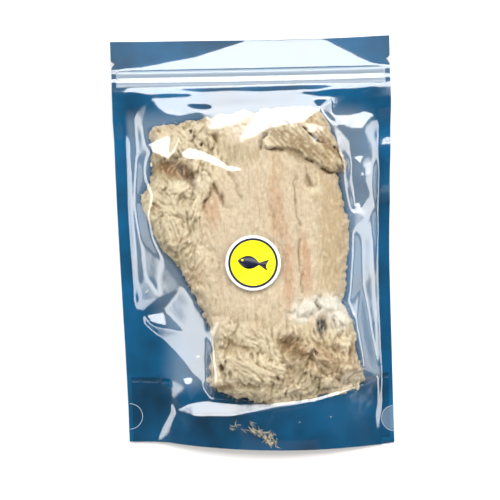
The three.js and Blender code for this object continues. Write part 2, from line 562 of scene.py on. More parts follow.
@dataclass(frozen=True)
class MilkyPolythene:
    """Low-density polythene, extruded as the zip or pressed hard by a punch.

    The eye sees a softly glossy, half see-through milkiness, faint where little of it covers the blue.
    """

    name: str = "milky_zip_polythene"
    milk: str = "#c9d8e6"
    cover: float = 0.42
    roughness: float = 0.25

    def material(self) -> Material:
        """Build the milky plastic material."""
        return dress(new_finish(self.name), {"Base Color": linear(self.milk), "Roughness": self.roughness,
                                             "Alpha": self.cover})


class Flesh(Enum):
    """Colours of the dried flesh, also used for painted shade in its hollows and painted highlight on its
    lumps.
    """

    CREAM = "#c5b69c"
    PALE = "#d6caac"
    WOOL = "#dddacd"
    TAN = "#ba9e7a"
    OLIVE = "#9b8d6b"
    BROWN = "#785532"
    DARK = "#3c2c1e"
    BLUSH = "#b99577"
    INK = "#1c2630"


@dataclass(frozen=True)
class DriedFlesh:
    """Beaten, air-dried fish flesh: matt, fibrous, cream with painted shade in its hollows and paler loose
    fibre.
    """

    name: str = "dried_fish_flesh"
    roughness: float = 0.82
    shine: float = 0.2
    fibre_mm: float = 0.8
    fibre_length: float = 3.5
    fibre_waver: float = 0.6
    fleck_mm: float = 2.0
    grain_span: Span = (0.12, 0.4)
    shade_span: Span = (0.86, 1.12)
    grain_strength: float = 0.4
    grain_depth_mm: float = 0.4

    def material(self) -> Material:
        """Build the flesh material from its tint attribute and fibre grain.

        Returns:
            The finish, for any piece.
        """
        material = new_finish(self.name)
        tree = material.node_tree
        places = own_places(tree)
        along = add_node(tree, "ShaderNodeMapping",
                         {"Vector": places, "Scale": (1.0, 1.0 / self.fibre_length, 1.0)}).outputs[0]
        fibre = grain(tree, along, self.fibre_mm, Detail=4.0, Distortion=self.fibre_waver)
        relief = calc(tree, "MULTIPLY", fibre, grain(tree, places, self.fleck_mm, Detail=5.0))
        spans = dict(zip(("From Min", "From Max", "To Min", "To Max"), self.grain_span + self.shade_span))
        shade = add_node(tree, "ShaderNodeMapRange", {"Value": relief, **spans}).outputs[0]
        tint = add_node(tree, "ShaderNodeVertexColor", {"layer_name": TINT}).outputs["Color"]
        colour = add_node(tree, "ShaderNodeVectorMath", {"operation": "SCALE", 0: tint, "Scale": shade})
        normal = bump(tree, relief, self.grain_strength, self.grain_depth_mm)
        return dress(material, {"Base Color": colour.outputs[0], "Normal": normal,
                                "Roughness": self.roughness, "Specular IOR Level": self.shine})


@dataclass(frozen=True)
class PrintedVinyl:
    """Satin vinyl of the sticker, printed in one flat ink, with a faint orange-peel surface."""

    name: str
    ink: str
    roughness: float = 0.38
    peel_mm: float = 0.8
    peel_strength: float = 0.1
    peel_depth_mm: float = 0.05

    def material(self) -> Material:
        """Build the printed vinyl material.

        Returns:
            The finish, for any piece.
        """
        material = new_finish(self.name)
        tree = material.node_tree
        peel = bump(tree, grain(tree, own_places(tree), self.peel_mm), self.peel_strength, self.peel_depth_mm)
        return dress(material, {"Base Color": linear(self.ink), "Roughness": self.roughness, "Normal": peel})


@dataclass
class PouchOutline:
    """Outline of the lying pouch, u across from -1 to 1 and s from the bottom edge to the top edge."""

    top_half: float = 80.0
    bottom_half: float = 77.0
    left_narrowing: Span = (-120.0, 60.0)
    right_narrowing: Span = (-25.0, 90.0)
    length: float = 233.0
    top_shear: float = 0.8
    bottom_shear: float = 2.4
    bow: float = 3.2
    bow_middle: float = 0.2
    bow_half: float = 0.9
    weld: float = 6.5
    corner: float = 20.0
    zip_drop: float = 27.0
    notch_drop: float = 13.0
    notch_depth: float = 2.2
    notch_half: float = 1.5
    notch_power: int = 20
    middle: float = field(init=False)

    def __post_init__(self) -> None:
        """Work out where the panel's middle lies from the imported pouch's box."""
        self.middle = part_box("pouch")[1].y / MM - self.length / 2 - self.top_shear

    def half_width(self, side: Array, y: Array) -> Array:
        """Half the panel's width at a height y, on the side that x or u lies.

        Args:
            side: Place or station across, of which the sign counts.
            y: Heights on the panel in millimetres.

        Returns:
            Half widths in millimetres.
        """
        spans = (self.left_narrowing, self.right_narrowing)
        left, right = (smoothstep(y - self.middle, *span) for span in spans)
        return mix(self.bottom_half, self.top_half, np.where(side < 0, left, right))

    def top_edge(self, u: Array) -> Array:
        """Height of the top edge."""
        return self.middle + self.length / 2 - self.top_shear * u

    def bottom_edge(self, u: Array) -> Array:
        """Height of the bowed bottom edge."""
        bow = self.bow * np.maximum(0.0, 1 - ((u - self.bow_middle) / self.bow_half) ** 2)
        return self.middle - self.length / 2 - self.bottom_shear * u - bow

    def point(self, u: Array, s: Array) -> tuple[Array, Array]:
        """Place of a panel station, drawn in at the tear notches.

        Args:
            u: Stations across the panel.
            s: Stations up the panel.

        Returns:
            Places x and y in millimetres.
        """
        y = mix(self.bottom_edge(u), self.top_edge(u), s)
        off = np.abs((1 - s) * self.length - self.notch_drop) / self.notch_half
        notch = self.notch_depth * np.maximum(0.0, 1 - off)
        return u * (self.half_width(u, y) - notch * u ** self.notch_power), y

    def grid(self, columns: int, rows: int) -> tuple[Array, Array]:
        """Places of even stations all over the panel."""
        return self.point(*np.meshgrid(np.linspace(-1, 1, columns), np.linspace(0, 1, rows)))

    def station(self, x: Array, y: Array) -> tuple[Array, Array]:
        """Panel station of a place.

        Args:
            x: Places across, in millimetres.
            y: Places along, in millimetres.

        Returns:
            Stations u and s.
        """
        u = x / self.half_width(x, y)
        low = self.bottom_edge(u)
        return u, (y - low) / (self.top_edge(u) - low)

    def to_side_weld(self, x: Array, y: Array) -> Array:
        """Distance inwards from the side weld's inner line."""
        return self.half_width(x, y) - np.abs(x) - self.weld

    def to_bottom(self, x: Array, y: Array) -> Array:
        """Distance up from the bottom edge."""
        return self.station(x, y)[1] * self.length

    def to_zip(self, x: Array, y: Array) -> Array:
        """Distance down from the zip's lower edge."""
        return self.length - self.to_bottom(x, y) - self.zip_drop

    def to_corner_weld(self, x: Array, y: Array) -> Array:
        """Distance inwards from the slanted welds of the bottom corners."""
        return (self.to_side_weld(x, y) + self.to_bottom(x, y) - self.corner) / math.sqrt(2)


class PackedPouch:
    """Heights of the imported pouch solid, in millimetres."""

    # Places are drawn in a little, so that those on the very edge meet the solid too.
    INSET = 0.998
    # The header bends up beyond this line, towards its corners.
    CURL_X = (-80, -55, -32, -17, -4, 4, 40, 52, 66, 73, 80)
    CURL_Y = (103.5, 106.9, 110.3, 114.5, 118.6, 122, 120, 113.9, 106.5, 102.5, 101)
    CURL_SLOPE = 0.23

    def __init__(self, node: Piece) -> None:
        """Keep a search tree of the solid's triangles."""
        corners = [v.co / MM for v in node.data.vertices]
        self.tree = BVHTree.FromPolygons(corners, [tuple(p.vertices) for p in node.data.polygons])

    def height(self, x: Array, y: Array, from_above: bool) -> Array:
        """Find where a vertical line first meets the solid, with the header's bend.

        Args:
            x: Places across, in millimetres.
            y: Places along, in millimetres.
            from_above: Whether the front or the back is wanted.

        Returns:
            Heights in millimetres.
        """
        found = drop_on(self.tree, x * self.INSET, y * self.INSET, FAR if from_above else -FAR)
        return found + self.CURL_SLOPE * np.maximum(0.0, y - np.interp(x, self.CURL_X, self.CURL_Y))


@dataclass
class FrontFilm:
    """Clear front of the pouch: flat facets between the places that hold the film, with drawn creases."""

    outline: PouchOutline
    solid: PackedPouch
    columns: int = 201
    rows: int = 301
    least_gap: float = 0.3
    # Taut film on the welds and the zip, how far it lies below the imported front, and where it ends.
    sink: float = 0.35
    weld_sink: float = 0.25
    weld_blend: float = 3.0
    side_blend: Span = (0.0, 4.0)
    zip_blend: Span = (0.5, 6.0)
    # Loose facets.
    facet_spacing: float = 11.0
    facet_lift: float = 0.1
    facet_tries: int = 2600
    facet_seed: int = 11
    facet_blur: int = 5
    facet_join: float = 1e-4
    # Corners along the fish's edge, over the gusset's lip, and in a ring far outside.
    edge_spacing: float = 4.0
    edge_drop: float = 0.6
    edge_reach: float = 1.04
    edge_foot: float = -84.0
    edge_steps: int = 2
    hem_corners: int = 13
    hem_reach: float = 0.82
    hem_line: float = 0.025
    hem_half: float = 0.87
    hem_foot: float = 1.5
    hem_rise: float = 9.6
    far_ring: Span = (130.0, 190.0)
    far_corners: int = 40
    # Crown over the fish. It doesn't fall towards the fish's ends, and falls later beside the flap.
    crown_top: Span = (77.0, 12.8)
    crown_climb: float = 0.08
    crown_peak: float = 22.6
    crown_fall: float = 0.19
    crown_edge: float = 30.0
    crown_ends: Span = (-78.0, 60.0)
    end_push: float = 80.0
    flap_corner: Span = (36.0, 40.0)
    flap_push: float = 15.0
    # Rise of the film over the folded flap: x, y, radius and height.
    flap_rise: tuple[float, float, float, float] = (6.0, 45.0, 26.0, 1.8)
    foot_start: float = -70.0
    foot_fall: float = 0.5
    # Milkiness beside the fish and above the zip: the film's haze, with painted sheen for its reflections.
    least_haze_and_sheen: float = 0.004
    most_haze_and_sheen: float = 0.15
    haze_sheen_edge: Span = (-3.0, 2.0)
    haze_sheen_reach: Span = (14.0, 30.0)
    haze_sheen_ends: Span = (-80.0, 77.0)
    haze_sheen_fade: float = 6.0
    haze_sheen_weld: float = 3.0
    header_haze_sheen: float = 0.4
    header_fade: float = 8.0
    # Stretches held taut between drawn creases, without loose facets.
    calm: list[Points] = field(default_factory=lambda: [
        [(-68, -30), (-48, -16), (-30, -40), (-26, -84), (-38, -92), (-72, -76)],
        [(-72, 90), (-60, 72), (-62, 40), (-67, 25), (-62, 10), (-57, -5), (-57, -28),
         (-71, -34), (-73, 20)],
        [(40, 80), (44, 87), (73, 87), (73, -75), (62, -78), (53, 8), (57, 56)],
        [(-44, 89), (40, 89), (36, 79), (16, 79), (-12, 76), (-50, 73)],
        [(-74, -76), (-44, -80), (-16, -88), (8, -88), (30, -86.5), (58, -79.5), (74, -74),
         (72, -118), (-72, -118)],
        [(-18, -9), (-12, 4), (0, 8), (12, 4), (16, -9), (12, -20), (0, -26),
         (-12, -20)],
    ])
    # Drawn creases, each corner as x, y and z.
    creases: list[Points] = field(default_factory=lambda: [
        # Lower left: a straight valley, the ridge above it, a bright fold and the line along the fish.
        [(-66, -42.2, 1.8), (-56, -52, 2.2), (-47.4, -61.1, 3), (-38, -74.2, 4.4), (-33, -80.5, 5)],
        [(-63, -43, 4.6), (-53, -45.5, 6.6), (-41.2, -47.7, 10.2), (-30, -48.7, 15)],
        [(-67, -36.5, 2.2), (-54.3, -35, 3.2)],
        [(-29.8, -56, 12.8), (-30.6, -66, 9.6), (-31.2, -76, 6.4)],
        [(-26.2, -56, 17), (-26.2, -66, 16.2), (-26.2, -76, 13.4)],
        [(-58.5, 5.5, 12), (-52.8, -6.7, 12.6), (-47.9, -13.2, 13.2), (-42.4, -21.4, 14),
         (-36.9, -30.2, 15), (-30.4, -40.2, 15.8)],
        [(-57.5, -3.1, 9.8), (-56.5, -18, 9.7), (-55.5, -27, 8.8)],
        # Bottom: the fold over the gusset, the hollow between it and the fish, and the corner folds.
        [(69, -76.8, 3.4), (59.4, -82.3, 6.2), (44.8, -86.2, 10.8), (30, -89.4, 14.2), (8.5, -92.2, 15.6),
         (-16.7, -97, 12.2), (-37.8, -97.2, 8.6), (-49.8, -94.4, 5), (-60, -111.5, 2.8)],
        [(58.8, -80.2, 5), (44.4, -83.8, 9.2), (29.6, -87, 12.6), (8, -88.2, 13.8), (-12, -89.5, 9.4),
         (-28, -88, 6.2), (-40, -89, 4.8)],
        [(-51.5, -95, 3.2), (-61.4, -111, 1.9)],
        [(-45, -74.5, 4.4), (-42, -80, 6.6), (-46, -88.5, 4.2)],
        [(-53, -76, 2), (-52, -88, 2.8)],
        [(-62, -84, 2), (-58, -92, 2.4), (-58.5, -102, 2.2)],
        [(71, -90, 2.2), (64, -95, 4.1), (55, -104, 5.5)],
        [(-71, -100, 1.8), (-65, -112, 2.4)],
        # Right: the line along the fish's flap, then the side's buckles from the zip down, and a long crease.
        [(38.9, 77.7, 11.6), (47, 68.5, 10.4), (55, 59.5, 8.2), (55.6, 50, 7.6), (56.4, 42, 7.6),
         (57.2, 32, 7.6), (57.6, 22, 7.6)],
        [(43.4, 67.5, 11.6), (49, 54, 12), (52.4, 45, 12)],
        [(26.6, 86.8, 8.2), (34.7, 83, 9), (46.1, 83.1, 6.9), (54.7, 84.4, 6.2), (64, 85.6, 5.2)],
        [(45.8, 73.6, 8.2), (58.4, 73.9, 5.2), (66.8, 76.5, 3.8), (71.5, 81.7, 3.2)],
        [(51.4, 67.5, 9.4), (58.2, 65, 8.6), (63.4, 65.2, 7.4), (71.6, 74.5, 3.6)],
        [(63.8, 63.8, 7.2), (70.6, 53.5, 4.4)],
        [(69.8, 52.6, 4.6), (65.4, 50.8, 6), (61.2, 45.4, 8), (59.6, 39.4, 8.8), (60.4, 34, 8.8),
         (64, 28.9, 7.4)],
        [(66.6, 47.6, 5.6), (63.6, 41.6, 7.8), (63, 37, 9)],
        [(65.6, 27.7, 7.2), (70, 22.9, 5.2)],
        [(60.4, 21, 8.4), (68.5, 19.9, 4.8)],
        [(63.6, 8.6, 8.2), (64.4, 14.6, 8.2), (69.8, 16.1, 4.4)],
        [(55.8, 3, 12.4), (55.4, -5, 12.8)],
        [(60.5, 2, 7.4), (60.5, -23.9, 6.2), (64.5, -50, 4.4), (68, -70, 3)],
        # Top: the film below the zip, pulled tight over the fish's shoulder, with small pleats.
        [(-46, 91, 6.2), (-20, 91.4, 6.2), (4, 91.2, 6.3), (26, 90.6, 6.4)],
        [(-36, 87.6, 7.4), (-29, 88.4, 7.8), (-20.6, 86.4, 8.6), (-12, 87.8, 7.7)],
        [(-3.4, 88.3, 7.6), (4, 86.4, 8.8), (14, 87.2, 8.2)],
        [(-20, 79, 11.8), (-8, 80, 11.2), (6, 79.5, 11.8), (20, 81, 10.8)],
        # Upper left: the folds below the zip, the long fold of the side, and two facets on the fish.
        [(-28.1, 82.3, 9.4), (-40.6, 83, 8.2), (-50, 77.5, 8.8), (-60.7, 74.8, 7)],
        [(-64.9, 90.2, 5.8), (-57.7, 86.5, 6.8), (-47.1, 87, 7)],
        [(-67.5, 80, 4), (-66.5, 55, 4), (-69, 28, 3.8), (-66, 5, 4.6), (-64.5, -15, 4.4)],
        [(-49.3, 67.8, 8.1), (-46.6, 64.3, 8.8), (-48.2, 51.5, 11.9), (-58.7, 55.8, 9.4)],
        [(-41, 64.5, 10.8), (-44.5, 56.5, 11.6), (-40.3, 52.4, 12.2), (-28.5, 50.3, 14.3),
         (-22.4, 47.3, 14.9), (-15.3, 43.2, 15.5)],
        [(-50, 40.5, 12.9), (-44, 40.5, 13.8), (-36, 40.5, 14.3)],
        [(-36, 57.5, 11.4), (-28.4, 55.3, 12.9), (-21.7, 52.3, 13.6), (-13, 46.5, 14.8)],
    ])
    x: Array = field(init=False)
    y: Array = field(init=False)
    z: Array = field(init=False)
    around: Points = field(init=False)
    fall_line: Points = field(init=False)

    def __post_init__(self) -> None:
        """Lay out the grid and work out the film's height."""
        middle = np.mean(FISH_OUTLINE, 0)
        around = middle + self.edge_reach * (np.array(FISH_OUTLINE) - middle)
        self.around = [tuple(point) for point in around]
        self.fall_line = [self._pushed_out(*point) for point in self.around]
        self.x, self.y = self.outline.grid(self.columns, self.rows)
        self.z = self._height()

    def _pushed_out(self, x: float, y: float) -> Span:
        """Move a point of the fish's edge to where the crown has fallen.

        Args:
            x: Place of the point across.
            y: Place of the point along.

        Returns:
            The moved point.
        """
        at_flap = x > self.flap_corner[0] and y > self.flap_corner[1]
        end = int(y > self.crown_ends[1]) - int(y < self.crown_ends[0])
        return x + self.flap_push * at_flap, y + self.end_push * end

    def _taut(self, x: Array, y: Array) -> Array:
        """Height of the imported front, sunk a little so that the film keeps inside it.

        Args:
            x: Places across, in millimetres.
            y: Places along, in millimetres.

        Returns:
            Heights in millimetres.
        """
        to_weld = np.minimum(self.outline.to_side_weld(x, y), self.outline.to_corner_weld(x, y))
        weld = 1 - smoothstep(to_weld, 0.0, self.weld_blend)
        return self.solid.height(x, y, True) - self.sink - self.weld_sink * weld

    def _crown(self, x: Array, y: Array) -> Array:
        """Height of the film on the fish: it climbs from the fish's top edge and falls to the sides.

        Args:
            x: Places across, in millimetres.
            y: Places along, in millimetres.

        Returns:
            Heights in millimetres.
        """
        top_y, top_z = self.crown_top
        climb = np.minimum(top_z + self.crown_climb * (top_y - y), self.crown_peak)
        foot = self.foot_fall * np.maximum(0.0, self.foot_start - y)
        near_edge = np.clip(self.crown_edge - depth_inside(x, y, self.fall_line), 0, self.crown_edge)
        flap_x, flap_y, radius, height = self.flap_rise
        flap = height * np.exp(-((x - flap_x) ** 2 + (y - flap_y) ** 2) / radius ** 2)
        return climb + flap - foot - self.crown_fall * near_edge

    def _edge_corners(self) -> Points:
        """Corners along the fish's edge, clear of the creases.

        Returns:
            Corners as x, y and z in millimetres.
        """
        corners = []
        for x, y in rounded_loop(self.around, self.edge_steps):
            apart = min(line_distance(x, y, crease) for crease in self.creases) > self.edge_spacing
            if apart and y > self.edge_foot:
                corners.append((x, y, float(self._crown(x, y)) - self.edge_drop))
        return corners

    def _hem_corners(self) -> Points:
        """Corners of the low dome that the film makes over the gusset's lip.

        Returns:
            Corners as x, y and z in millimetres.
        """
        corners = []
        for u in np.linspace(-self.hem_reach, self.hem_reach, self.hem_corners):
            x, y = self.outline.point(u, self.hem_line)
            corners.append((x, y, self.hem_foot + self.hem_rise * (1 - (u / self.hem_half) ** 2)))
        return corners

    def _scatter(self, corners: Points) -> None:
        """Add loose corners to those that hold the film, none of them in a calm stretch.

        Args:
            corners: Corners that hold the film, which are added to.
        """
        random = np.random.default_rng(self.facet_seed)
        for u, s in random.uniform((-1, 0), (1, 1), (self.facet_tries, 2)):
            x, y = self.outline.point(u, s)
            apart = all(math.hypot(x - cx, y - cy) > self.facet_spacing for cx, cy, _ in corners)
            if apart and not any(depth_inside(x, y, part) > 0 for part in self.calm):
                lift = random.uniform(-self.facet_lift, self.facet_lift)
                on_fish = depth_inside(x, y, FISH_OUTLINE) > 0
                corners.append((x, y, lift + float(self._crown(x, y) if on_fish else self._taut(x, y))))

    def _facets(self) -> Array:
        """Height of the flat facets over the grid.

        Returns:
            Heights in millimetres.
        """
        corners, folds = [], []
        for crease in self.creases:
            folds += [(len(corners) + i, len(corners) + i + 1) for i in range(len(crease) - 1)]
            corners += crease
        corners += self._edge_corners() + self._hem_corners()
        self._scatter(corners)
        across, along = self.far_ring
        for a in np.linspace(0, 2 * math.pi, self.far_corners, endpoint=False):
            corners.append((across * math.cos(a), along * math.sin(a), 0.0))
        flat = [Vector((x, y)) for x, y, _ in corners]
        places, _, triangles, sources, *_ = delaunay_2d_cdt(flat, folds, [], 0, self.facet_join)
        knots = [Vector((*place, corners[source[0]][2] if source else 0.0))
                 for place, source in zip(places, sources)]
        return drop_on(BVHTree.FromPolygons(knots, triangles), self.x, self.y, FAR)

    def _height(self) -> Array:
        """Join the welded edges, the zip and header and the faceted body.

        Returns:
            Heights in millimetres.
        """
        share = smoothstep(self.outline.to_side_weld(self.x, self.y), *self.side_blend)
        share *= smoothstep(self.outline.to_zip(self.x, self.y), *self.zip_blend)
        film = blur(mix(self._taut(self.x, self.y), self._facets(), share), self.facet_blur)
        return np.maximum(film, self.solid.height(self.x, self.y, False) + self.least_gap)

    def _haze_and_sheen(self) -> Array:
        """How milky the film looks, haze and painted sheen: most beside the fish, where it stands off it at a
        slant.

        Returns:
            Share of the milky veil, haze and painted sheen, at each point of the grid.
        """
        outside = -depth_inside(self.x, self.y, FISH_OUTLINE)
        share = smoothstep(outside, *self.haze_sheen_edge) * (1 - smoothstep(outside, *self.haze_sheen_reach))
        low, high = (smoothstep(self.y, end - self.haze_sheen_fade, end + self.haze_sheen_fade) for end in self.haze_sheen_ends)
        share *= low * (1 - high)
        share *= smoothstep(self.outline.to_side_weld(self.x, self.y), 0.0, self.haze_sheen_weld)
        # Above the zip the milkiness is painted sheen for the reflection there.
        above_zip = smoothstep(-self.outline.to_zip(self.x, self.y), 0.0, self.header_fade)
        return mix(self.least_haze_and_sheen, self.most_haze_and_sheen, np.maximum(share, self.header_haze_sheen * above_zip))

    def build(self, material: Material) -> Piece:
        """Make the film's mesh.

        Args:
            material: Finish of the film.

        Returns:
            The film with its haze and painted sheen, at the origin.
        """
        film = new_sheet("front_film", self.x, self.y, self.z, material)
        add_values(film, HAZE_AND_SHEEN, self._haze_and_sheen().ravel())
        return film

    def at(self, x: Array, y: Array) -> Array:
        """Height of the finished film at places, between its grid points.

        Args:
            x: Places across, in millimetres.
            y: Places along, in millimetres.

        Returns:
            Heights in millimetres.
        """
        u, s = self.outline.station(x, y)
        column = np.clip((u + 1) / 2, 0, 1) * (self.columns - 1)
        row = np.clip(s, 0, 1) * (self.rows - 1)
        c = np.minimum(column.astype(int), self.columns - 2)
        r = np.minimum(row.astype(int), self.rows - 2)
        low = mix(self.z[r, c], self.z[r, c + 1], column - c)
        high = mix(self.z[r + 1, c], self.z[r + 1, c + 1], column - c)
        return mix(low, high, row - r)


@dataclass
class BackFilm:
    """Blue back panel of the pouch, with the gusset's two leaves."""

    outline: PouchOutline
    solid: PackedPouch
    front: FrontFilm
    columns: int = 101
    rows: int = 151
    back_lift: float = 0.02
    gusset_rows: int = 21
    gusset_reach: float = 0.97
    gusset_lift: float = 0.05
    fold_lift: float = 0.15
    fold_height: float = 8.0
    lip_half: float = 64.0
    lip_rise: float = 3.0
    leaf_gap: float = 0.8
    film_gap: float = 0.12
    # Line of the gusset's inner fold, pushed down in the middle by the fish.
    fold_x: tuple[float, ...] = (-77, -52, -47, -40, -16.5, 8.5, 29.6, 44.1, 58.6, 68.6, 77)
    fold_y: tuple[float, ...] = (-74, -75.5, -90, -95.2, -96, -91.7, -88.3, -84.9, -81.1, -75.8, -75.4)

    def build_back(self, material: Material) -> Piece:
        """Make the back panel."""
        x, y = self.outline.grid(self.columns, self.rows)
        return new_sheet("back_film", x, y, self.solid.height(x, y, False) + self.back_lift, material)

    def build_gusset(self, material: Material) -> Piece:
        """Make the gusset, from the front lip in to its fold and out to the back edge.

        Args:
            material: Finish of the gusset.

        Returns:
            The gusset, at the origin.
        """
        across = np.linspace(-self.gusset_reach, self.gusset_reach, self.columns)
        u, t = np.meshgrid(across, np.linspace(-1, 1, self.gusset_rows))
        x, low = self.outline.point(u, np.zeros_like(u))
        reach = 1 - np.abs(t)
        y = mix(low, np.interp(x, self.fold_x, self.fold_y), reach)
        back = self.solid.height(x, y, False) + self.gusset_lift
        open_share = np.maximum(0.0, 1 - (x / self.lip_half) ** 2)
        fold = back + self.fold_lift + self.fold_height * open_share
        film = self.front.at(x, y) - self.film_gap - self.leaf_gap * 4 * reach * (1 - reach)
        front_edge = np.minimum(film, fold + self.lip_rise)
        outer = np.where(t < 0, np.minimum(film, mix(front_edge, fold, reach)), mix(back, fold, reach))
        return new_sheet("gusset_film", x, y, np.maximum(outer, back), material)


@dataclass
class ZipTrack:
    """Milky zip strip between the films, with its ribs along the pouch's width."""

    outline: PouchOutline
    solid: PackedPouch
    steps: int = 81
    reach: float = 0.965
    # Section across the strip: drop below the top edge and height above the back panel.
    section: Points = field(default_factory=lambda: [
        (16.8, 0.12), (16.9, 0.5), (17.6, 1.5), (18.6, 1.85), (19.6, 1.5), (20.2, 0.5), (21.4, 0.4),
        (21.9, 0.85), (22.4, 0.4), (23.1, 0.4), (23.7, 0.95), (24.3, 0.4), (25.1, 0.4), (25.6, 0.7),
        (26.2, 0.35), (26.6, 0.12),
    ])

    def build(self, material: Material) -> Piece:
        """Sweep the section across the pouch.

        Args:
            material: Finish of the zip.

        Returns:
            The strip, at the origin.
        """
        count = len(self.section)
        drop, height = np.array(self.section).T
        across = np.linspace(-self.reach, self.reach, self.steps)[:, None]
        x, y = self.outline.point(across, 1 - drop / self.outline.length)
        vertices = np.stack([x, y, self.solid.height(x, y, False) + height], 2).reshape(-1, 3)
        ends = [range(count)[::-1], range(len(vertices) - count, len(vertices))]
        faces = [face[::-1] for face in tube_faces(self.steps, count)] + ends
        return new_piece("zip_track", vertices, faces, material)


class Layer(Enum):
    """Noise in the flesh: cell across and along in millimetres, fixed seed and octaves."""

    EDGE = (5, 5, 21, 4)
    WARP_X = (16, 16, 31, 4)
    WARP_Y = (16, 16, 41, 4)
    LUMPS = (11, 13, 51, 2)
    FLAKES = (5, 7, 81, 3)
    FLUFF = (3, 4, 91, 3)
    BREAKS = (8, 8, 111, 2)
    DRIFT = (40, 40, 121, 4)
    SWIRL = (15, 15, 131, 2)
    BANDS = (9, 30, 141, 4)
    STRAY = (4, 6, 151, 4)
    CLOUDS = (7, 7, 171, 3)

    def at(self, x: Array, y: Array) -> Array:
        """Noise at places, between about -1 and 1."""
        across, along, seed, octaves = self.value
        return fractal(x / across, y / along, seed, octaves)


class Comb(Enum):
    """Combed fibre of the flesh: cell and length in millimetres, and fixed seed."""

    WOOL = (1.9, 4.5, 61)
    HAIR = (1.2, 10.0, 71)
    LOCKS = (1.7, 4.5, 161)

    def at(self, x: Array, y: Array, lie: Array) -> Array:
        """Fibre at places, drawn out along its lie."""
        return combed(x, y, lie, *self.value)


class Measure(Enum):
    """What the washes of colour follow."""

    BANDS = "bands along the fillet"
    STREAKS = "how strongly locks show"
    CLOUDS = "clouds in streaked flesh"
    WOOL = "fluffed fibre"
    LUMPS = "lumps of torn flesh"
    LOCKS = "locks of fibre"
    HAIR = "single long fibres"
    DEPTH = "depth below the film"
    SHADE = "grooves and hollows"


@dataclass(frozen=True)
class Fold:
    """A flap or lump of flesh that lies on the fillet, with a hollow along its outline.

    Sizes are in millimetres, grain is the direction of its fibre in degrees, soft tells a rounded rim from
    a cut one, and streaks how strongly its locks of fibre show.
    """

    corners: Points
    rise: float
    edge: float = 5.0
    hollow: float = 1.2
    hollow_half: float = 2.0
    grain: float = 90.0
    soft: float = 0.75
    streaks: float = 0.0


@dataclass(frozen=True)
class Patch:
    """A soft-edged patch of colour on the flesh, an ellipse turned by degrees."""

    FADE = (0.35, 1.3)

    tone: Flesh
    share: float
    x: float
    y: float
    across: float
    along: float
    turn: float = 0.0

    def cover(self, x: Array, y: Array, stray: Array) -> Array:
        """Share of the colour at places, with a stray edge."""
        dx, dy = turned(x - self.x, y - self.y, -self.turn)
        return self.share * (1 - smoothstep(np.hypot(dx / self.across, dy / self.along) + stray, *self.FADE))


@dataclass(frozen=True)
class Wash:
    """A colour over all the flesh, whose share grows while a measure goes from low to high."""

    tone: Flesh
    share: float
    measure: Measure
    low: float
    high: float

    def cover(self, measures: dict[Measure, Array]) -> Array:
        """Share of the colour at places."""
        return self.share * smoothstep(measures[self.measure], self.low, self.high)


def oval(x: float, y: float, across: float, along: float, turn: float = 0.0, corners: int = 8) -> Points:
    """Corners of an ellipse, turned by degrees.

    Args:
        x: Its middle across.
        y: Its middle along.
        across: Half of its width.
        along: Half of its length.
        turn: Degrees that it is turned by.
        corners: How many corners it gets.

    Returns:
        The corners in order.
    """
    angles = np.linspace(0, 2 * math.pi, corners, endpoint=False)
    px, py = turned(across * np.cos(angles), along * np.sin(angles), turn)
    return list(zip(x + px, y + py))


def rounded(value: Array, radius: float) -> Array:
    """Rise from 0 to 1 over a radius, as a round edge does."""
    return np.sqrt(1 - (1 - np.clip(value / radius, 0, 1)) ** 2)


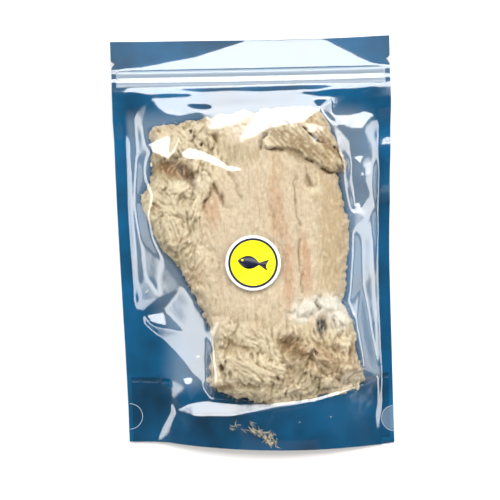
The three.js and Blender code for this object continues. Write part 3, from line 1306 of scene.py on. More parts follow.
@dataclass
class DriedFish:
    """The beaten fillet: an uneven mat of flesh under the film, built of folds, grooves and fibre."""

    front: FrontFilm
    solid: PackedPouch
    pitch: float = 0.6
    margin: float = 2.0
    clearance: float = 0.8
    back_gap: float = 0.3
    under_gap: float = 0.1
    least: float = 0.2
    edge_radius: float = 8.0
    edge_tear: float = 1.4
    # Spans over which the flesh gets torn: down, then up and to the left in the corner, and to the left.
    torn_bottom: Span = (-34.0, -56.0)
    torn_top: Span = (28.0, 46.0)
    torn_corner: Span = (-5.0, -25.0)
    torn_left: Span = (-20.0, -38.0)
    # Lie of the fibre in radians: how far it drifts, swirls where torn, and follows a fold's grain.
    drift: float = 0.25
    swirl: float = 1.4
    fold_lie: float = 0.8
    # Depths below the film and shares, each for whole and for torn flesh.
    sunk: Span = (1.0, 2.6)
    lump_rise: Span = (0.4, 1.5)
    wool_rise: Span = (0.1, 0.2)
    flake_depth: Span = (0.2, 0.7)
    rim_stray: Span = (0.3, 0.8)
    streaked: Span = (0.3, 1.0)
    loose: Span = (0.12, 0.5)
    lock_rise: float = 0.25
    wool_comb: float = 0.75
    wool_fluff: float = 0.65
    warp: float = 2.2
    # Folds: points between two corners, where their rise starts, where streaks are full, and their hollows,
    # with the hollow and groove depths that get the darkest painted shade.
    fold_steps: int = 4
    fold_start: float = -1.0
    streak_end: float = 2.0
    hollow_inside: float = 0.6
    hollow_breaks: Span = (-0.4, 0.4)
    darkest_hollow: float = 3.0
    groove_stray: float = 0.3
    groove_taper: float = 7.0
    darkest_groove: float = 2.4
    # The flesh lies deeper along the edge of the folded flap.
    flap_edge: Points = field(default_factory=lambda: [(5, 53), (28, 47), (48, 38)])
    flap_reach: float = 12.0
    flap_sink: float = 1.2
    # Loose fibre: where it thickens, at the fillet's edge and in the tuft, as x, y and two radii.
    loose_span: Span = (-0.5, 1.0)
    fuzz_edge: Span = (-0.5, 2.0)
    tuft: tuple[float, float, float, float] = (35.0, -37.0, 17.0, 8.0)
    tuft_loose: float = 1.2
    patch_stray: float = 0.3
    patch_fluff: float = 0.06
    folds: list[Fold] = field(default_factory=lambda: [
        # Left side, from the strip beside the V-shaped tear down to the lobes at the edge.
        Fold([(-34.3, 50.1), (-28.3, 44.2), (-23, 34.5), (-27.2, 25.6), (-32, 15.6), (-36.5, 18.6),
              (-34.3, 33.2)], 1.6, 4, 1.4, 1.6, 70, 0.3, 0.6),
        Fold([(-51.1, 38.2), (-42.6, 39.1), (-34.8, 35.4), (-36.1, 29.8), (-44.1, 28.4), (-50.7, 31.4)],
             2.4, 5.5, 1, 2.2, 20),
        Fold([(-65, 25.7), (-59.2, 28.4), (-52.5, 24.8), (-53.8, 19.1), (-60.8, 15.9), (-65.8, 20.1)],
             1.2, 4, 1, 2, 150),
        Fold([(-56.6, 15.8), (-47.9, 19.5), (-37.9, 14.1), (-37.1, 5), (-45.2, -0.4), (-54.2, 2.1)],
             2, 7, 1, 2.4, 120),
        Fold([(-37, -2), (-28, 1), (-22, -8), (-25, -20), (-34, -18)], 1.2, 7, 0.8, 2.2, 60),
        # Top: two curled flaps on the left and the thick folded flap on the right.
        Fold([(-35.8, 73.2), (-29, 74.1), (-22.4, 69.9), (-21, 60.9), (-26.7, 57.7), (-35.1, 59.6)],
             1.8, 4, 1.4, 1.4, 40),
        Fold([(-51.6, 72), (-44.8, 72.3), (-37.1, 68.1), (-30.6, 61.2), (-26.8, 55.4), (-32.5, 52.3),
              (-40.9, 54.8), (-47.8, 51.6), (-53.3, 55.2), (-56.4, 63.1)], 2.8, 4, 2.6, 2, 145),
        Fold([(5.4, 56.5), (9, 66.4), (13.2, 74.7), (20, 71.5), (28, 66.5), (40, 58.5), (47, 53),
              (53.7, 41.5), (47.5, 41.2), (36.5, 46), (29.3, 49.6), (23.8, 52.6), (14.3, 54.5)],
             3, 3, 3.6, 1.7, 148, 0.2, 1.3),
        Fold([(13.2, 74.7), (18.9, 79), (27.4, 79.8), (37.4, 76.7), (43.8, 65.9), (49.5, 52.8), (53, 44.5),
              (47, 53), (40, 58.5), (28, 66.5), (20, 71.5)], 3.2, 2.6, 2.6, 1.4, 140, 0.2, 1.3),
        # Bottom: torn lumps around a deep brown hole.
        Fold([(11, -52.5), (23.5, -53), (25, -61), (18.6, -65.8), (12.5, -61)], -3, 5, 0, 1, 30),
        Fold([(-28.2, -39.4), (-20.2, -38), (-12.5, -45.6), (-17.3, -53.4), (-25.3, -55.4), (-29.6, -49.6)],
             2.2, 6, 1.4, 2, 130),
        Fold([(-27.7, -57.9), (-19.8, -59.3), (-19, -70.7), (-21.6, -80.9), (-28.5, -81.9), (-29.3, -69.3)],
             1.6, 4, 1.2, 1.8, 100),
        Fold([(-19.2, -61.2), (-7.8, -59.2), (5.1, -63), (14, -67.8), (9.2, -76.8), (-5.6, -78.6),
              (-17.9, -73.7)], 2.8, 7, 1.6, 2.4, 170),
        Fold(oval(27.8, -59.3, 6.5, 4, 20), 2, 4, 1.4, 1.6, 30),
        Fold(oval(37.4, -62.4, 7, 4.5, -15), 2.2, 4.5, 1.4, 1.6, 165),
        Fold(oval(48.8, -57.1, 5, 6, 20), 2, 4, 1.4, 1.6, 100),
        Fold(oval(55, -68.6, 3.4, 7, 10), 1.4, 3, 1.6, 1.4, 100),
        Fold(oval(40.5, -78.5, 7, 3.6, 25), 2.2, 4, 1.4, 1.6, 25),
        Fold(oval(30, -72, 6, 4, 60), 1.6, 4, 1.6, 1.6, 60),
        Fold(oval(20, -82.5, 8, 4, -10), 1.8, 4, 1.4, 1.6, 10),
        Fold(oval(46, -86, 8, 3, 15), 1.4, 3, 1.2, 1.4, 15),
        # Loose tufts above the hole.
        Fold(oval(26.5, -36.5, 6.5, 5, 25), 2.4, 5, 1.6, 2.6, 60, 1),
        Fold(oval(41, -33.6, 8, 4.6, -10), 2.4, 5, 1.6, 2.6, 20, 1),
        Fold(oval(49, -42.5, 5, 4.5, 30), 2.2, 4, 1.4, 2.4, 120, 1),
    ])
    # Grooves along the grain and between folds: depth, half width, and the line each follows.
    grooves: list[tuple[float, float, Points]] = field(default_factory=lambda: [
        (1.3, 1.2, [(23.5, 45.3), (24.6, 25.6), (25.1, 3.1), (24.3, -25), (21.3, -30.6)]),
        (2, 2.1, [(29.1, 46.1), (31.7, 36.6), (35, 29)]),
        (0.9, 1, [(5.8, 35.7), (6.8, 30.6), (8.7, 20.5), (11.1, 6.4)]),
        (0.8, 1, [(2.4, 31.9), (3.9, 9.4)]),
        (1.3, 1.2, [(-20, 52.2), (-13.5, 44.7), (-9.8, 37.9), (-7.8, 31.1), (-6, 21)]),
        (0.7, 1, [(14, 30), (14.5, 12), (12, -4)]),
        (2.2, 1.7, [(-32, 16.2), (-27.8, 24.5), (-23, 34.5), (-18.1, 27), (-14.9, 20.2)]),
        (3.2, 5.1, [(-57, 49), (-50, 47.5), (-41.4, 45), (-35, 39.5), (-31, 34)]),
        (1.3, 1.2, [(-27.5, 67.8), (-22, 63.2), (-21.6, 59.2)]),
        (0.9, 1.2, [(2.8, -27.2), (-3.5, -46.8)]),
        (1, 1.2, [(44.7, 2.5), (48.2, -13.3)]),
        (0.8, 1.2, [(36, 2), (39, -22)]),
        (1.4, 1.5, [(-19.4, -50.4), (-10.6, -58), (0, -59.5)]),
        (1.4, 1.5, [(13.5, -67.5), (7.5, -75.9), (5, -84)]),
        (1.3, 1.4, [(51.1, -61.2), (53.7, -67), (55.2, -74.4)]),
        (1.1, 1.4, [(42.8, -72.4), (47.1, -79.9)]),
        (1.7, 2.1, [(-59, 24), (-54.5, 22.5)]),
    ])
    # Colours of the flesh, laid one over the other.
    patches: list[Patch] = field(default_factory=lambda: [
        # Left side and top.
        Patch(Flesh.OLIVE, 0.7, -42.5, 44.5, 12, 6, -15),
        Patch(Flesh.BROWN, 0.6, -42.5, 44.5, 14, 5, -22),
        Patch(Flesh.BROWN, 0.55, -38, 42, 8, 2.4, -45),
        Patch(Flesh.BROWN, 0.75, -56.5, 23.5, 4.4, 2, -8),
        Patch(Flesh.TAN, 0.5, -50, 69, 13, 3.5, 10),
        Patch(Flesh.OLIVE, 0.2, -50, 12, 15, 20),
        Patch(Flesh.PALE, 0.9, -44.5, 33.5, 8, 4.5, 5),
        Patch(Flesh.PALE, 0.6, -50, 13, 7, 5, 20),
        Patch(Flesh.BLUSH, 0.6, -24, 20, 5.5, 11, -12),
        Patch(Flesh.OLIVE, 0.5, -4, 53, 12, 6, -10),
        # The flap on the right and the strip below it.
        Patch(Flesh.OLIVE, 0.9, 26, 57, 26, 8, -32),
        Patch(Flesh.BROWN, 0.35, 27, 56, 24, 7, -32),
        Patch(Flesh.TAN, 0.6, 39, 65, 18, 5.5, -55),
        Patch(Flesh.OLIVE, 0.7, 42, 57, 16, 6, -52),
        Patch(Flesh.BROWN, 0.5, 41, 60, 17, 3, -52),
        Patch(Flesh.BROWN, 0.5, 53, 42, 3, 2, -40),
        Patch(Flesh.TAN, 0.6, 45, 16, 9, 34),
        Patch(Flesh.OLIVE, 0.35, 44, 0, 10, 40),
        Patch(Flesh.PALE, 0.7, 34.4, 32, 4, 4),
        Patch(Flesh.OLIVE, 0.6, 34.3, 26.5, 2.8, 3),
        # Stripes along the middle.
        Patch(Flesh.BLUSH, 0.75, 18, -14, 3.8, 28, 1),
        Patch(Flesh.BLUSH, 0.8, 28, -12, 3.6, 22, 1),
        Patch(Flesh.BLUSH, 0.5, 12, 22, 5, 22, 3),
        Patch(Flesh.BLUSH, 0.45, -35, -16, 7, 9, 30),
        # The torn bottom.
        Patch(Flesh.TAN, 0.55, 36, -66, 23, 15, -20),
        Patch(Flesh.BROWN, 0.35, 38, -66, 15, 7, -25),
        Patch(Flesh.BROWN, 0.5, 16.5, -73.5, 3.6, 10, -35),
        Patch(Flesh.BLUSH, 0.6, -26.6, -74, 3.5, 8),
        Patch(Flesh.BROWN, 0.6, -20, -80.5, 9, 2.5, 10),
        Patch(Flesh.PALE, 0.7, -3, -69, 14, 7.5, -5),
        Patch(Flesh.BROWN, 0.95, 19, -58, 12, 7, -35),
        Patch(Flesh.DARK, 0.6, 15.5, -54.5, 4.5, 2.6, -10),
        Patch(Flesh.DARK, 0.8, 23, -64, 1.6, 1.5),
        Patch(Flesh.BROWN, 0.55, 53.5, -66.5, 2.4, 8.5, 12),
        Patch(Flesh.BROWN, 0.5, 45, -76, 2.2, 5.5, 35),
        Patch(Flesh.PALE, 0.9, 38.5, -79, 6.5, 3.5, 25),
        Patch(Flesh.WOOL, 1, 27, -36.5, 10.5, 7.5, 20),
        Patch(Flesh.WOOL, 1, 41, -34, 13.5, 7, -10),
        Patch(Flesh.WOOL, 0.9, 47, -42.5, 9, 7, 25),
        Patch(Flesh.INK, 1, 36, -46.5, 3.6, 7, -4),
    ])
    # Washes below the patches, pale tops whose shares add up as painted highlight, washes over them,
    # those by depth and shade being painted shade in hollows, and locks tinted as painted shade where deep.
    ground: list[Wash] = field(default_factory=lambda: [
        Wash(Flesh.TAN, 0.5, Measure.BANDS, 0, 0.9),
        Wash(Flesh.PALE, 0.6, Measure.STREAKS, 0.3, 1),
        Wash(Flesh.PALE, 0.6, Measure.CLOUDS, 0.15, 0.8),
        Wash(Flesh.BROWN, 0.3, Measure.CLOUDS, -0.2, -0.9),
    ])
    # Painted highlight: paler on the tops of fluffed fibre and torn lumps.
    painted_highlight_crests: list[Wash] = field(default_factory=lambda: [
        Wash(Flesh.PALE, 0.3, Measure.WOOL, 0.3, 1.8),
        Wash(Flesh.PALE, 0.4, Measure.LUMPS, 0.1, 0.7),
    ])
    lines: list[Wash] = field(default_factory=lambda: [
        Wash(Flesh.TAN, 0.3, Measure.WOOL, -0.4, -1.8),
        Wash(Flesh.PALE, 0.5, Measure.LOCKS, 0.3, 1.7),
        Wash(Flesh.BROWN, 0.45, Measure.LOCKS, -0.4, -2),
        Wash(Flesh.BROWN, 0.3, Measure.HAIR, -1.6, -2.6),
        # Painted shade: olive, brown and dark where the flesh lies deep below the film and in grooves and
        # hollows.
        Wash(Flesh.OLIVE, 0.7, Measure.DEPTH, 2.2, 4.6),
        Wash(Flesh.BROWN, 0.55, Measure.DEPTH, 3.6, 6.2),
        Wash(Flesh.BROWN, 0.6, Measure.SHADE, 0.25, 0.9),
        Wash(Flesh.DARK, 0.8, Measure.DEPTH, 5.2, 8),
    ])
    # Painted shade: locks of fibre turn tan where they lie deep.
    sunk_locks_painted_shade: list[Wash] = field(default_factory=lambda: [
        Wash(Flesh.TAN, 0.6, Measure.LOCKS, 0.2, 1.4),
        Wash(Flesh.TAN, 1, Measure.DEPTH, 2.5, 4.5),
    ])

    def build(self, material: Material) -> Piece:
        """Make the fillet's mesh with its tint.

        Args:
            material: Finish of the flesh.

        Returns:
            The fillet, at the origin.
        """
        loop = rounded_loop(FISH_OUTLINE)
        low, high = np.min(loop, 0) - self.margin, np.max(loop, 0) + self.margin
        x, y = np.meshgrid(*(np.arange(low[i], high[i], self.pitch) for i in (0, 1)))
        depth = depth_inside(x, y, loop) + self.edge_tear * Layer.EDGE.at(x, y)
        back = self.solid.height(x, y, False) + self.back_gap
        room = self.front.at(x, y) - self.clearance - back
        edge = rounded(depth, self.edge_radius)
        relief, tint, loose = self._relief(x, y)
        z = back + np.maximum((room - relief) * edge, self.least * edge)
        fuzz = loose * smoothstep(depth, *self.fuzz_edge)
        return self._mesh(np.stack([x, y, z], 2), back, depth > 0, tint, fuzz, material)

    def _ragged(self, x: Array, y: Array) -> Array:
        """How torn the flesh is: most at the bottom and along the left, least in the middle."""
        corner = smoothstep(y, *self.torn_top) * smoothstep(x, *self.torn_corner)
        return np.maximum.reduce([smoothstep(y, *self.torn_bottom), corner, smoothstep(x, *self.torn_left)])

    def _relief(self, x: Array, y: Array) -> tuple[Array, Array, Array]:
        """Work out how the flesh lies and looks.

        Args:
            x: Places across, in millimetres.
            y: Places along, in millimetres.

        Returns:
            Depth below the film in millimetres, colours, and how loose the fibre is.
        """
        ragged = self._ragged(x, y)
        warped = (x + self.warp * Layer.WARP_X.at(x, y), y + self.warp * Layer.WARP_Y.at(x, y))
        insides = [depth_inside(*warped, rounded_loop(fold.corners, self.fold_steps)) for fold in self.folds]
        lie = math.pi / 2 + self.drift * Layer.DRIFT.at(x, y) + self.swirl * ragged * Layer.SWIRL.at(x, y)
        streaks = mix(*self.streaked, ragged)
        for fold, inside in zip(self.folds, insides):
            follow = self.fold_lie * smoothstep(inside, self.fold_start, fold.edge)
            lie = mix(lie, math.radians(fold.grain), follow)
            shown = smoothstep(inside, self.fold_start, self.streak_end)
            streaks = np.maximum(streaks, fold.streaks * shown)
        fluff = Layer.FLUFF.at(x, y)
        wool = self.wool_comb * Comb.WOOL.at(x, y, lie) + self.wool_fluff * fluff / fluff.std()
        locks = streaks * Comb.LOCKS.at(x, y, lie)
        lumps = Layer.LUMPS.at(*warped)
        flakes = np.abs(Layer.FLAKES.at(*warped))
        relief = mix(*self.sunk, ragged) - mix(*self.lump_rise, ragged) * lumps
        relief += mix(*self.flake_depth, ragged) * flakes - mix(*self.wool_rise, ragged) * wool
        relief -= self.lock_rise * locks
        relief += self.flap_sink * np.exp(-(line_distance(x, y, self.flap_edge) / self.flap_reach) ** 2)
        shade = self._cut_grooves(relief, *warped, self.groove_stray * wool)
        rims = [inside + mix(*self.rim_stray, ragged) * wool for inside in insides]
        broken = smoothstep(Layer.BREAKS.at(x, y), *self.hollow_breaks)
        shade = self._lay_folds(relief, shade, rims, broken)
        relief = np.maximum(relief, 0.0)
        tint = self._tint(x, y, {
            Measure.BANDS: Layer.BANDS.at(x, y),
            Measure.STREAKS: streaks,
            Measure.CLOUDS: streaks * Layer.CLOUDS.at(x, y),
            Measure.WOOL: wool,
            Measure.LUMPS: ragged * lumps,
            Measure.LOCKS: locks,
            Measure.HAIR: Comb.HAIR.at(x, y, lie),
            Measure.DEPTH: relief,
            Measure.SHADE: shade,
        })
        tuft_x, tuft_y, across, along = self.tuft
        tuft = np.exp(-((x - tuft_x) / across) ** 2 - ((y - tuft_y) / along) ** 2)
        loose = mix(*self.loose, ragged) * smoothstep(wool + lumps, *self.loose_span) + self.tuft_loose * tuft
        return relief, tint, np.clip(loose, 0, 1)

    def _cut_grooves(self, relief: Array, x: Array, y: Array, stray: Array) -> Array:
        """Cut the grooves into the relief, and give their painted shade.

        Args:
            relief: Depths below the film, which are changed.
            x: Places across, in millimetres.
            y: Places along, in millimetres.
            stray: How far the grooves stray sideways.

        Returns:
            Painted shade of the grooves.
        """
        shade = np.zeros_like(relief)
        for deep, half, line in self.grooves:
            cut = np.exp(-(line_distance(x + stray, y, line) / half) ** 2)
            for end_x, end_y in (line[0], line[-1]):
                cut *= smoothstep(np.hypot(x - end_x, y - end_y), 0.0, self.groove_taper)
            relief += deep * cut
            shade = np.maximum(shade, cut * min(1.0, deep / self.darkest_groove))
        return shade

    def _lay_folds(self, relief: Array, shade: Array, rims: list[Array], broken: Array) -> Array:
        """Raise the folds out of the relief, with hollows along their outlines that get painted shade.

        Args:
            relief: Depths below the film, which are changed.
            shade: Painted shade of the grooves.
            rims: How far places lie inside each fold's outline.
            broken: Share of the hollows that is left.

        Returns:
            Painted shade of the grooves and hollows.
        """
        for fold, torn in zip(self.folds, rims):
            soft = smoothstep(torn, self.fold_start, fold.edge)
            rise = mix(rounded(torn, fold.edge), soft, fold.soft)
            side = np.where(torn < 0, 1.0, self.hollow_inside * fold.soft)
            moat = np.exp(-(torn / fold.hollow_half) ** 2) * side * broken
            relief += fold.hollow * moat - fold.rise * rise
            shade = np.maximum(shade * (1 - rise), moat * min(1.0, fold.hollow / self.darkest_hollow))
        return shade

    def _tint(self, x: Array, y: Array, measures: dict[Measure, Array]) -> Array:
        """Colour the flesh: patches, pale tops as painted highlight, browner lines of fibre, painted shade in
        hollows.

        Args:
            x: Places across, in millimetres.
            y: Places along, in millimetres.
            measures: What the washes follow, at each place.

        Returns:
            Linear red, green and blue at each place.
        """
        palette = {tone: np.array(linear(tone.value)[:3]) for tone in Flesh}
        colour = np.empty((*x.shape, 3))
        colour[:] = palette[Flesh.CREAM]

        def paint(tone: Flesh, share: Array) -> None:
            """Lay one colour over the others."""
            colour[:] = mix(colour, palette[tone], np.clip(share, 0, 1)[..., None])

        for wash in self.ground:
            paint(wash.tone, wash.cover(measures))
        stray = self.patch_stray * Layer.STRAY.at(x, y) + self.patch_fluff * measures[Measure.WOOL]
        for patch in self.patches:
            paint(patch.tone, patch.cover(x, y, stray))
        # Painted highlight on the tops of lumps and fibre.
        paint(Flesh.PALE, sum(wash.cover(measures) for wash in self.painted_highlight_crests))
        # Fibre lines, then painted shade by depth and in grooves and hollows.
        for wash in self.lines:
            paint(wash.tone, wash.cover(measures))
        # Painted shade: tan on locks of fibre that lie deep.
        paint(Flesh.TAN, math.prod(wash.cover(measures) for wash in self.sunk_locks_painted_shade))
        return colour

    def _mesh(self, places: Array, back: Array, keep: Array, tint: Array, fuzz: Array,
              material: Material) -> Piece:
        """Close the kept part of the grid with an underside, and store its tint and fuzz.

        Args:
            places: Grid of x, y and z in millimetres.
            back: Heights that the fillet lies on.
            keep: Which points of the grid are flesh.
            tint: Colours of the points.
            fuzz: How loose the fibre is at the points.
            material: Finish of the flesh.

        Returns:
            The fillet, at the origin.
        """
        quads = grid_faces(*keep.shape)
        quads = quads[keep.ravel()[quads].all(1)]
        used = np.unique(quads)
        quads = np.searchsorted(used, quads)
        top = places.reshape(-1, 3)[used]
        under = np.column_stack([top[:, :2], back.ravel()[used] - self.under_gap])
        faces = quads.tolist() + (quads[:, ::-1] + used.size).tolist() + rim_walls(quads, used.size)
        piece = new_piece("fish_fillet", np.concatenate([top, under]), faces, material)
        colours = np.column_stack([tint.reshape(-1, 3)[used], np.ones(used.size)])
        add_values(piece, TINT, np.concatenate([colours, colours]))
        add_values(piece, FUZZ, np.concatenate([fuzz.ravel()[used], np.zeros(used.size)]))
        return piece


@dataclass(frozen=True)
class LooseFibre:
    """Fine fibres that stand off the flesh, scattered over it by geometry nodes."""

    per_mm2: float = 1.3
    short_mm: float = 1.4
    long_mm: float = 3.6
    radius_mm: float = 0.07
    tilt_deg: float = 16.0
    yaw_deg: float = 180.0
    # Middle and tip of a fibre of length 1, its stretches and its sides.
    bend: tuple[float, float, float] = (0.12, 0.5, 0.16)
    tip: tuple[float, float, float] = (0.0, 1.0, 0.04)
    stretches: int = 3
    sides: int = 3
    seed: int = 3
    film_gap: float = 0.15

    def _tree(self, material: Material) -> tuple[Tree, dict[str, str]]:
        """Build the scattering tree.

        Args:
            material: Finish of the fibres.

        Returns:
            The tree, and the identifiers of its named inputs.
        """
        tree = bpy.data.node_groups.new("loose_fibre", "GeometryNodeTree")
        names = {"Geometry": "NodeSocketGeometry", "Density": "NodeSocketFloat", "Seed": "NodeSocketInt"}
        inputs = {name: tree.interface.new_socket(name, in_out="INPUT", socket_type=kind).identifier
                  for name, kind in names.items()}
        tree.interface.new_socket("Geometry", in_out="OUTPUT", socket_type="NodeSocketGeometry")
        given = add_node(tree, "NodeGroupInput").outputs
        fuzz = add_node(tree, "GeometryNodeInputNamedAttribute", {"data_type": "FLOAT", "Name": FUZZ})
        density = calc(tree, "MULTIPLY", fuzz.outputs["Attribute"], given["Density"])
        points = add_node(tree, "GeometryNodeDistributePointsOnFaces",
                          {"Mesh": given["Geometry"], "Density": density, "Seed": given["Seed"]})
        curve = add_node(tree, "GeometryNodeCurveQuadraticBezier",
                         {"Resolution": self.stretches, "Start": (0, 0, 0), "Middle": self.bend,
                          "End": self.tip})
        section = add_node(tree, "GeometryNodeCurvePrimitiveCircle",
                           {"Resolution": self.sides, "Radius": self.radius_mm / self.long_mm})
        strand = add_node(tree, "GeometryNodeCurveToMesh",
                          {"Curve": curve.outputs[0], "Profile Curve": section.outputs[0]})
        tilt, yaw = math.radians(self.tilt_deg), math.radians(self.yaw_deg)
        turn = add_node(tree, "FunctionNodeRandomValue",
                        {"data_type": "FLOAT_VECTOR", 0: (0.0, -math.pi, -yaw), 1: (tilt, math.pi, yaw),
                         "Seed": given["Seed"]})
        size = add_node(tree, "FunctionNodeRandomValue",
                        {"data_type": "FLOAT", 2: self.short_mm * MM, 3: self.long_mm * MM,
                         "Seed": given["Seed"]})
        strands = add_node(tree, "GeometryNodeInstanceOnPoints",
                           {"Points": points.outputs["Points"], "Instance": strand.outputs[0],
                            "Rotation": turn.outputs[0], "Scale": size.outputs[1]})
        solid = add_node(tree, "GeometryNodeRealizeInstances", {0: strands.outputs[0]})
        dressed = add_node(tree, "GeometryNodeSetMaterial", {"Material": material, 0: solid.outputs[0]})
        add_node(tree, "NodeGroupOutput", {0: dressed.outputs[0]})
        return tree, inputs

    def build(self, fillet: Piece, front: FrontFilm, material: Material) -> Piece:
        """Scatter the fibres and press them under the film.

        Args:
            fillet: Flesh that carries the fuzz attribute.
            front: Film that the fibres keep below.
            material: Finish of the fibres.

        Returns:
            One mesh object of all fibres.
        """
        carrier = bpy.data.objects.new("fibre_carrier", fillet.data)
        bpy.context.scene.collection.objects.link(carrier)
        tree, inputs = self._tree(material)
        modifier = carrier.modifiers.new("fibres", "NODES")
        modifier.node_group = tree
        modifier[inputs["Density"]] = self.per_mm2 / MM ** 2
        modifier[inputs["Seed"]] = self.seed
        evaluated = carrier.evaluated_get(bpy.context.evaluated_depsgraph_get())
        mesh = bpy.data.meshes.new_from_object(evaluated)
        mesh.name = "fish_fibre"
        bpy.data.objects.remove(carrier)
        places = np.empty(len(mesh.vertices) * 3)
        mesh.vertices.foreach_get("co", places)
        places = places.reshape(-1, 3)
        roof = front.at(places[:, 0] / MM, places[:, 1] / MM) - self.film_gap
        places[:, 2] = np.minimum(places[:, 2], roof * MM)
        mesh.vertices.foreach_set("co", places.ravel())
        mesh.update()
        piece = bpy.data.objects.new("fish_fibre", mesh)
        bpy.context.scene.collection.objects.link(piece)
        return piece


@dataclass
class Sticker:
    """Round vinyl sticker on the film, with a plain fish sign."""

    front: FrontFilm
    x: float = -1.7
    y: float = -8.9
    radius: float = 15.5
    rim: float = 1.5
    ring: float = 1.3
    lift: float = 0.5
    thickness: float = 0.25
    sides: int = 96
    field_rings: tuple[float, ...] = (1.5, 4.0, 8.0)
    # The sign: its body tapers to both ends, and its tail is forked.
    sign_lift: float = 0.56
    sign_turn: float = -10.0
    sign_body: float = 12.5
    sign_tail: float = 5.0
    sign_half: float = 3.7
    body_steps: int = 22
    body_power: float = 0.8
    nose_half: float = 0.15
    nose_length: float = 1.0
    tail_steps: int = 4
    tail_start: float = 0.25
    tail_root: float = 0.8
    tail_half: float = 3.3
    tail_fork: float = 1.8
    eye: Span = (2.6, 0.7)
    eye_radius: float = 0.6
    eye_lift: float = 0.05
    eye_points: int = 7

    def build(self, materials: dict[str, Material]) -> Piece:
        """Make the sticker's disc, with a material for each printed field.

        Args:
            materials: Finishes of the white, navy and yellow fields.

        Returns:
            The disc, a little above the film.
        """
        rim = self.radius - self.rim
        radii = [*self.field_rings, rim - self.ring, rim, self.radius]
        angles = np.arange(self.sides) / self.sides * 2 * math.pi
        rings = [(r, self.lift) for r in radii] + [(r, self.lift - self.thickness) for r in radii[::-1]]
        vertices = []
        for r, level in rings:
            x, y = self.x + r * np.cos(angles), self.y + r * np.sin(angles)
            vertices.append(np.stack([x, y, self.front.at(x, y) + level], 1))
        bands = ["yellow"] * len(self.field_rings) + ["navy"]
        bands += ["white"] * (len(rings) - 1 - len(bands))
        count = len(rings) * self.sides
        faces = [range(self.sides), range(count - self.sides, count)[::-1]]
        faces += tube_faces(len(rings), self.sides)
        tones = ["yellow", "white"] + [tone for tone in bands for _ in range(self.sides)]
        names = list(materials)
        piece = new_piece("sticker", np.concatenate(vertices), faces, materials[names[0]])
        for name in names[1:]:
            piece.data.materials.append(materials[name])
        piece.data.polygons.foreach_set("material_index", [names.index(tone) for tone in tones])
        return piece

    def _on_film(self, x: Array, y: Array, level: float) -> Array:
        """Places on the sign, along from the fish's nose and across, at a level above the film.

        Args:
            x: Places along the sign in millimetres.
            y: Places across it in millimetres.
            level: Height above the film in millimetres.

        Returns:
            Places in the part's frame.
        """
        px, py = turned(x - (self.sign_body + self.sign_tail) / 2, y, self.sign_turn)
        px, py = px + self.x, py + self.y
        return np.stack([px, py, self.front.at(px, py) + level], -1)

    def build_sign(self, material: Material) -> Piece:
        """Make the fish sign: a body that tapers to both ends, and a forked tail.

        Args:
            material: Ink of the sign.

        Returns:
            The sign, at the origin.
        """
        body = np.linspace(0.0, 1.0, self.body_steps)
        tail = np.linspace(self.tail_start, 1.0, self.tail_steps)
        along = np.concatenate([body * self.sign_body, self.sign_body + tail * self.sign_tail])
        half = np.concatenate([self.sign_half * np.sin(math.pi * body) ** self.body_power,
                               mix(self.tail_root, self.tail_half, tail)])
        half = np.maximum(half, np.where(along < self.nose_length, self.nose_half, self.tail_root))
        middle = along - self.tail_fork * (along >= along[-1])
        x = np.stack([along, middle, along], 1)
        y = np.stack([-half, np.zeros_like(half), half], 1)
        levels = (self.sign_lift, self.lift - self.thickness / 2)
        return new_slab("sticker_sign", *(self._on_film(x, y, level) for level in levels), material)

    def build_eye(self, material: Material) -> Piece:
        """Make the fish sign's eye.

        Args:
            material: Ink of the eye.

        Returns:
            The eye, at the origin.
        """
        u, v = np.meshgrid(*[np.linspace(-1, 1, self.eye_points)] * 2)
        x = self.eye[0] + self.eye_radius * u * np.sqrt(1 - v * v / 2)
        y = self.eye[1] + self.eye_radius * v * np.sqrt(1 - u * u / 2)
        levels = (self.sign_lift + self.eye_lift, self.sign_lift - self.eye_lift)
        return new_slab("sticker_eye", *(self._on_film(x, y, level) for level in levels), material)


@dataclass
class WeldMarks:
    """Half rings that the pouch-maker's punch left in the bottom corners, the right one milky inside."""

    front: FrontFilm
    left: Span = (-76.5, -96.9)
    right: Span = (77.4, -102.2)
    radius: float = 7.6
    line: float = 0.32
    haze_inner: float = 0.3
    lift: float = 0.06
    skin: float = 0.05
    steps: int = 33
    rings: int = 4

    def build(self, name: str, side: int, inner: float, material: Material) -> Piece:
        """Make one ring or half disc.

        Args:
            name: Name of the piece.
            side: -1 for the left corner, 1 for the right one.
            inner: Inner radius in millimetres.
            material: Milky finish.

        Returns:
            The mark, a thin skin on the film.
        """
        x, y = self.left if side < 0 else self.right
        turns = np.linspace(-math.pi / 2, math.pi / 2, self.steps)
        r, a = np.meshgrid(np.linspace(inner, self.radius, self.rings), turns)
        px, py = x - side * r * np.cos(a), y + r * np.sin(a)
        top = np.stack([px, py, self.front.at(px, py) + self.lift], 2)
        return new_slab(name, top, top - (0, 0, self.skin), material)


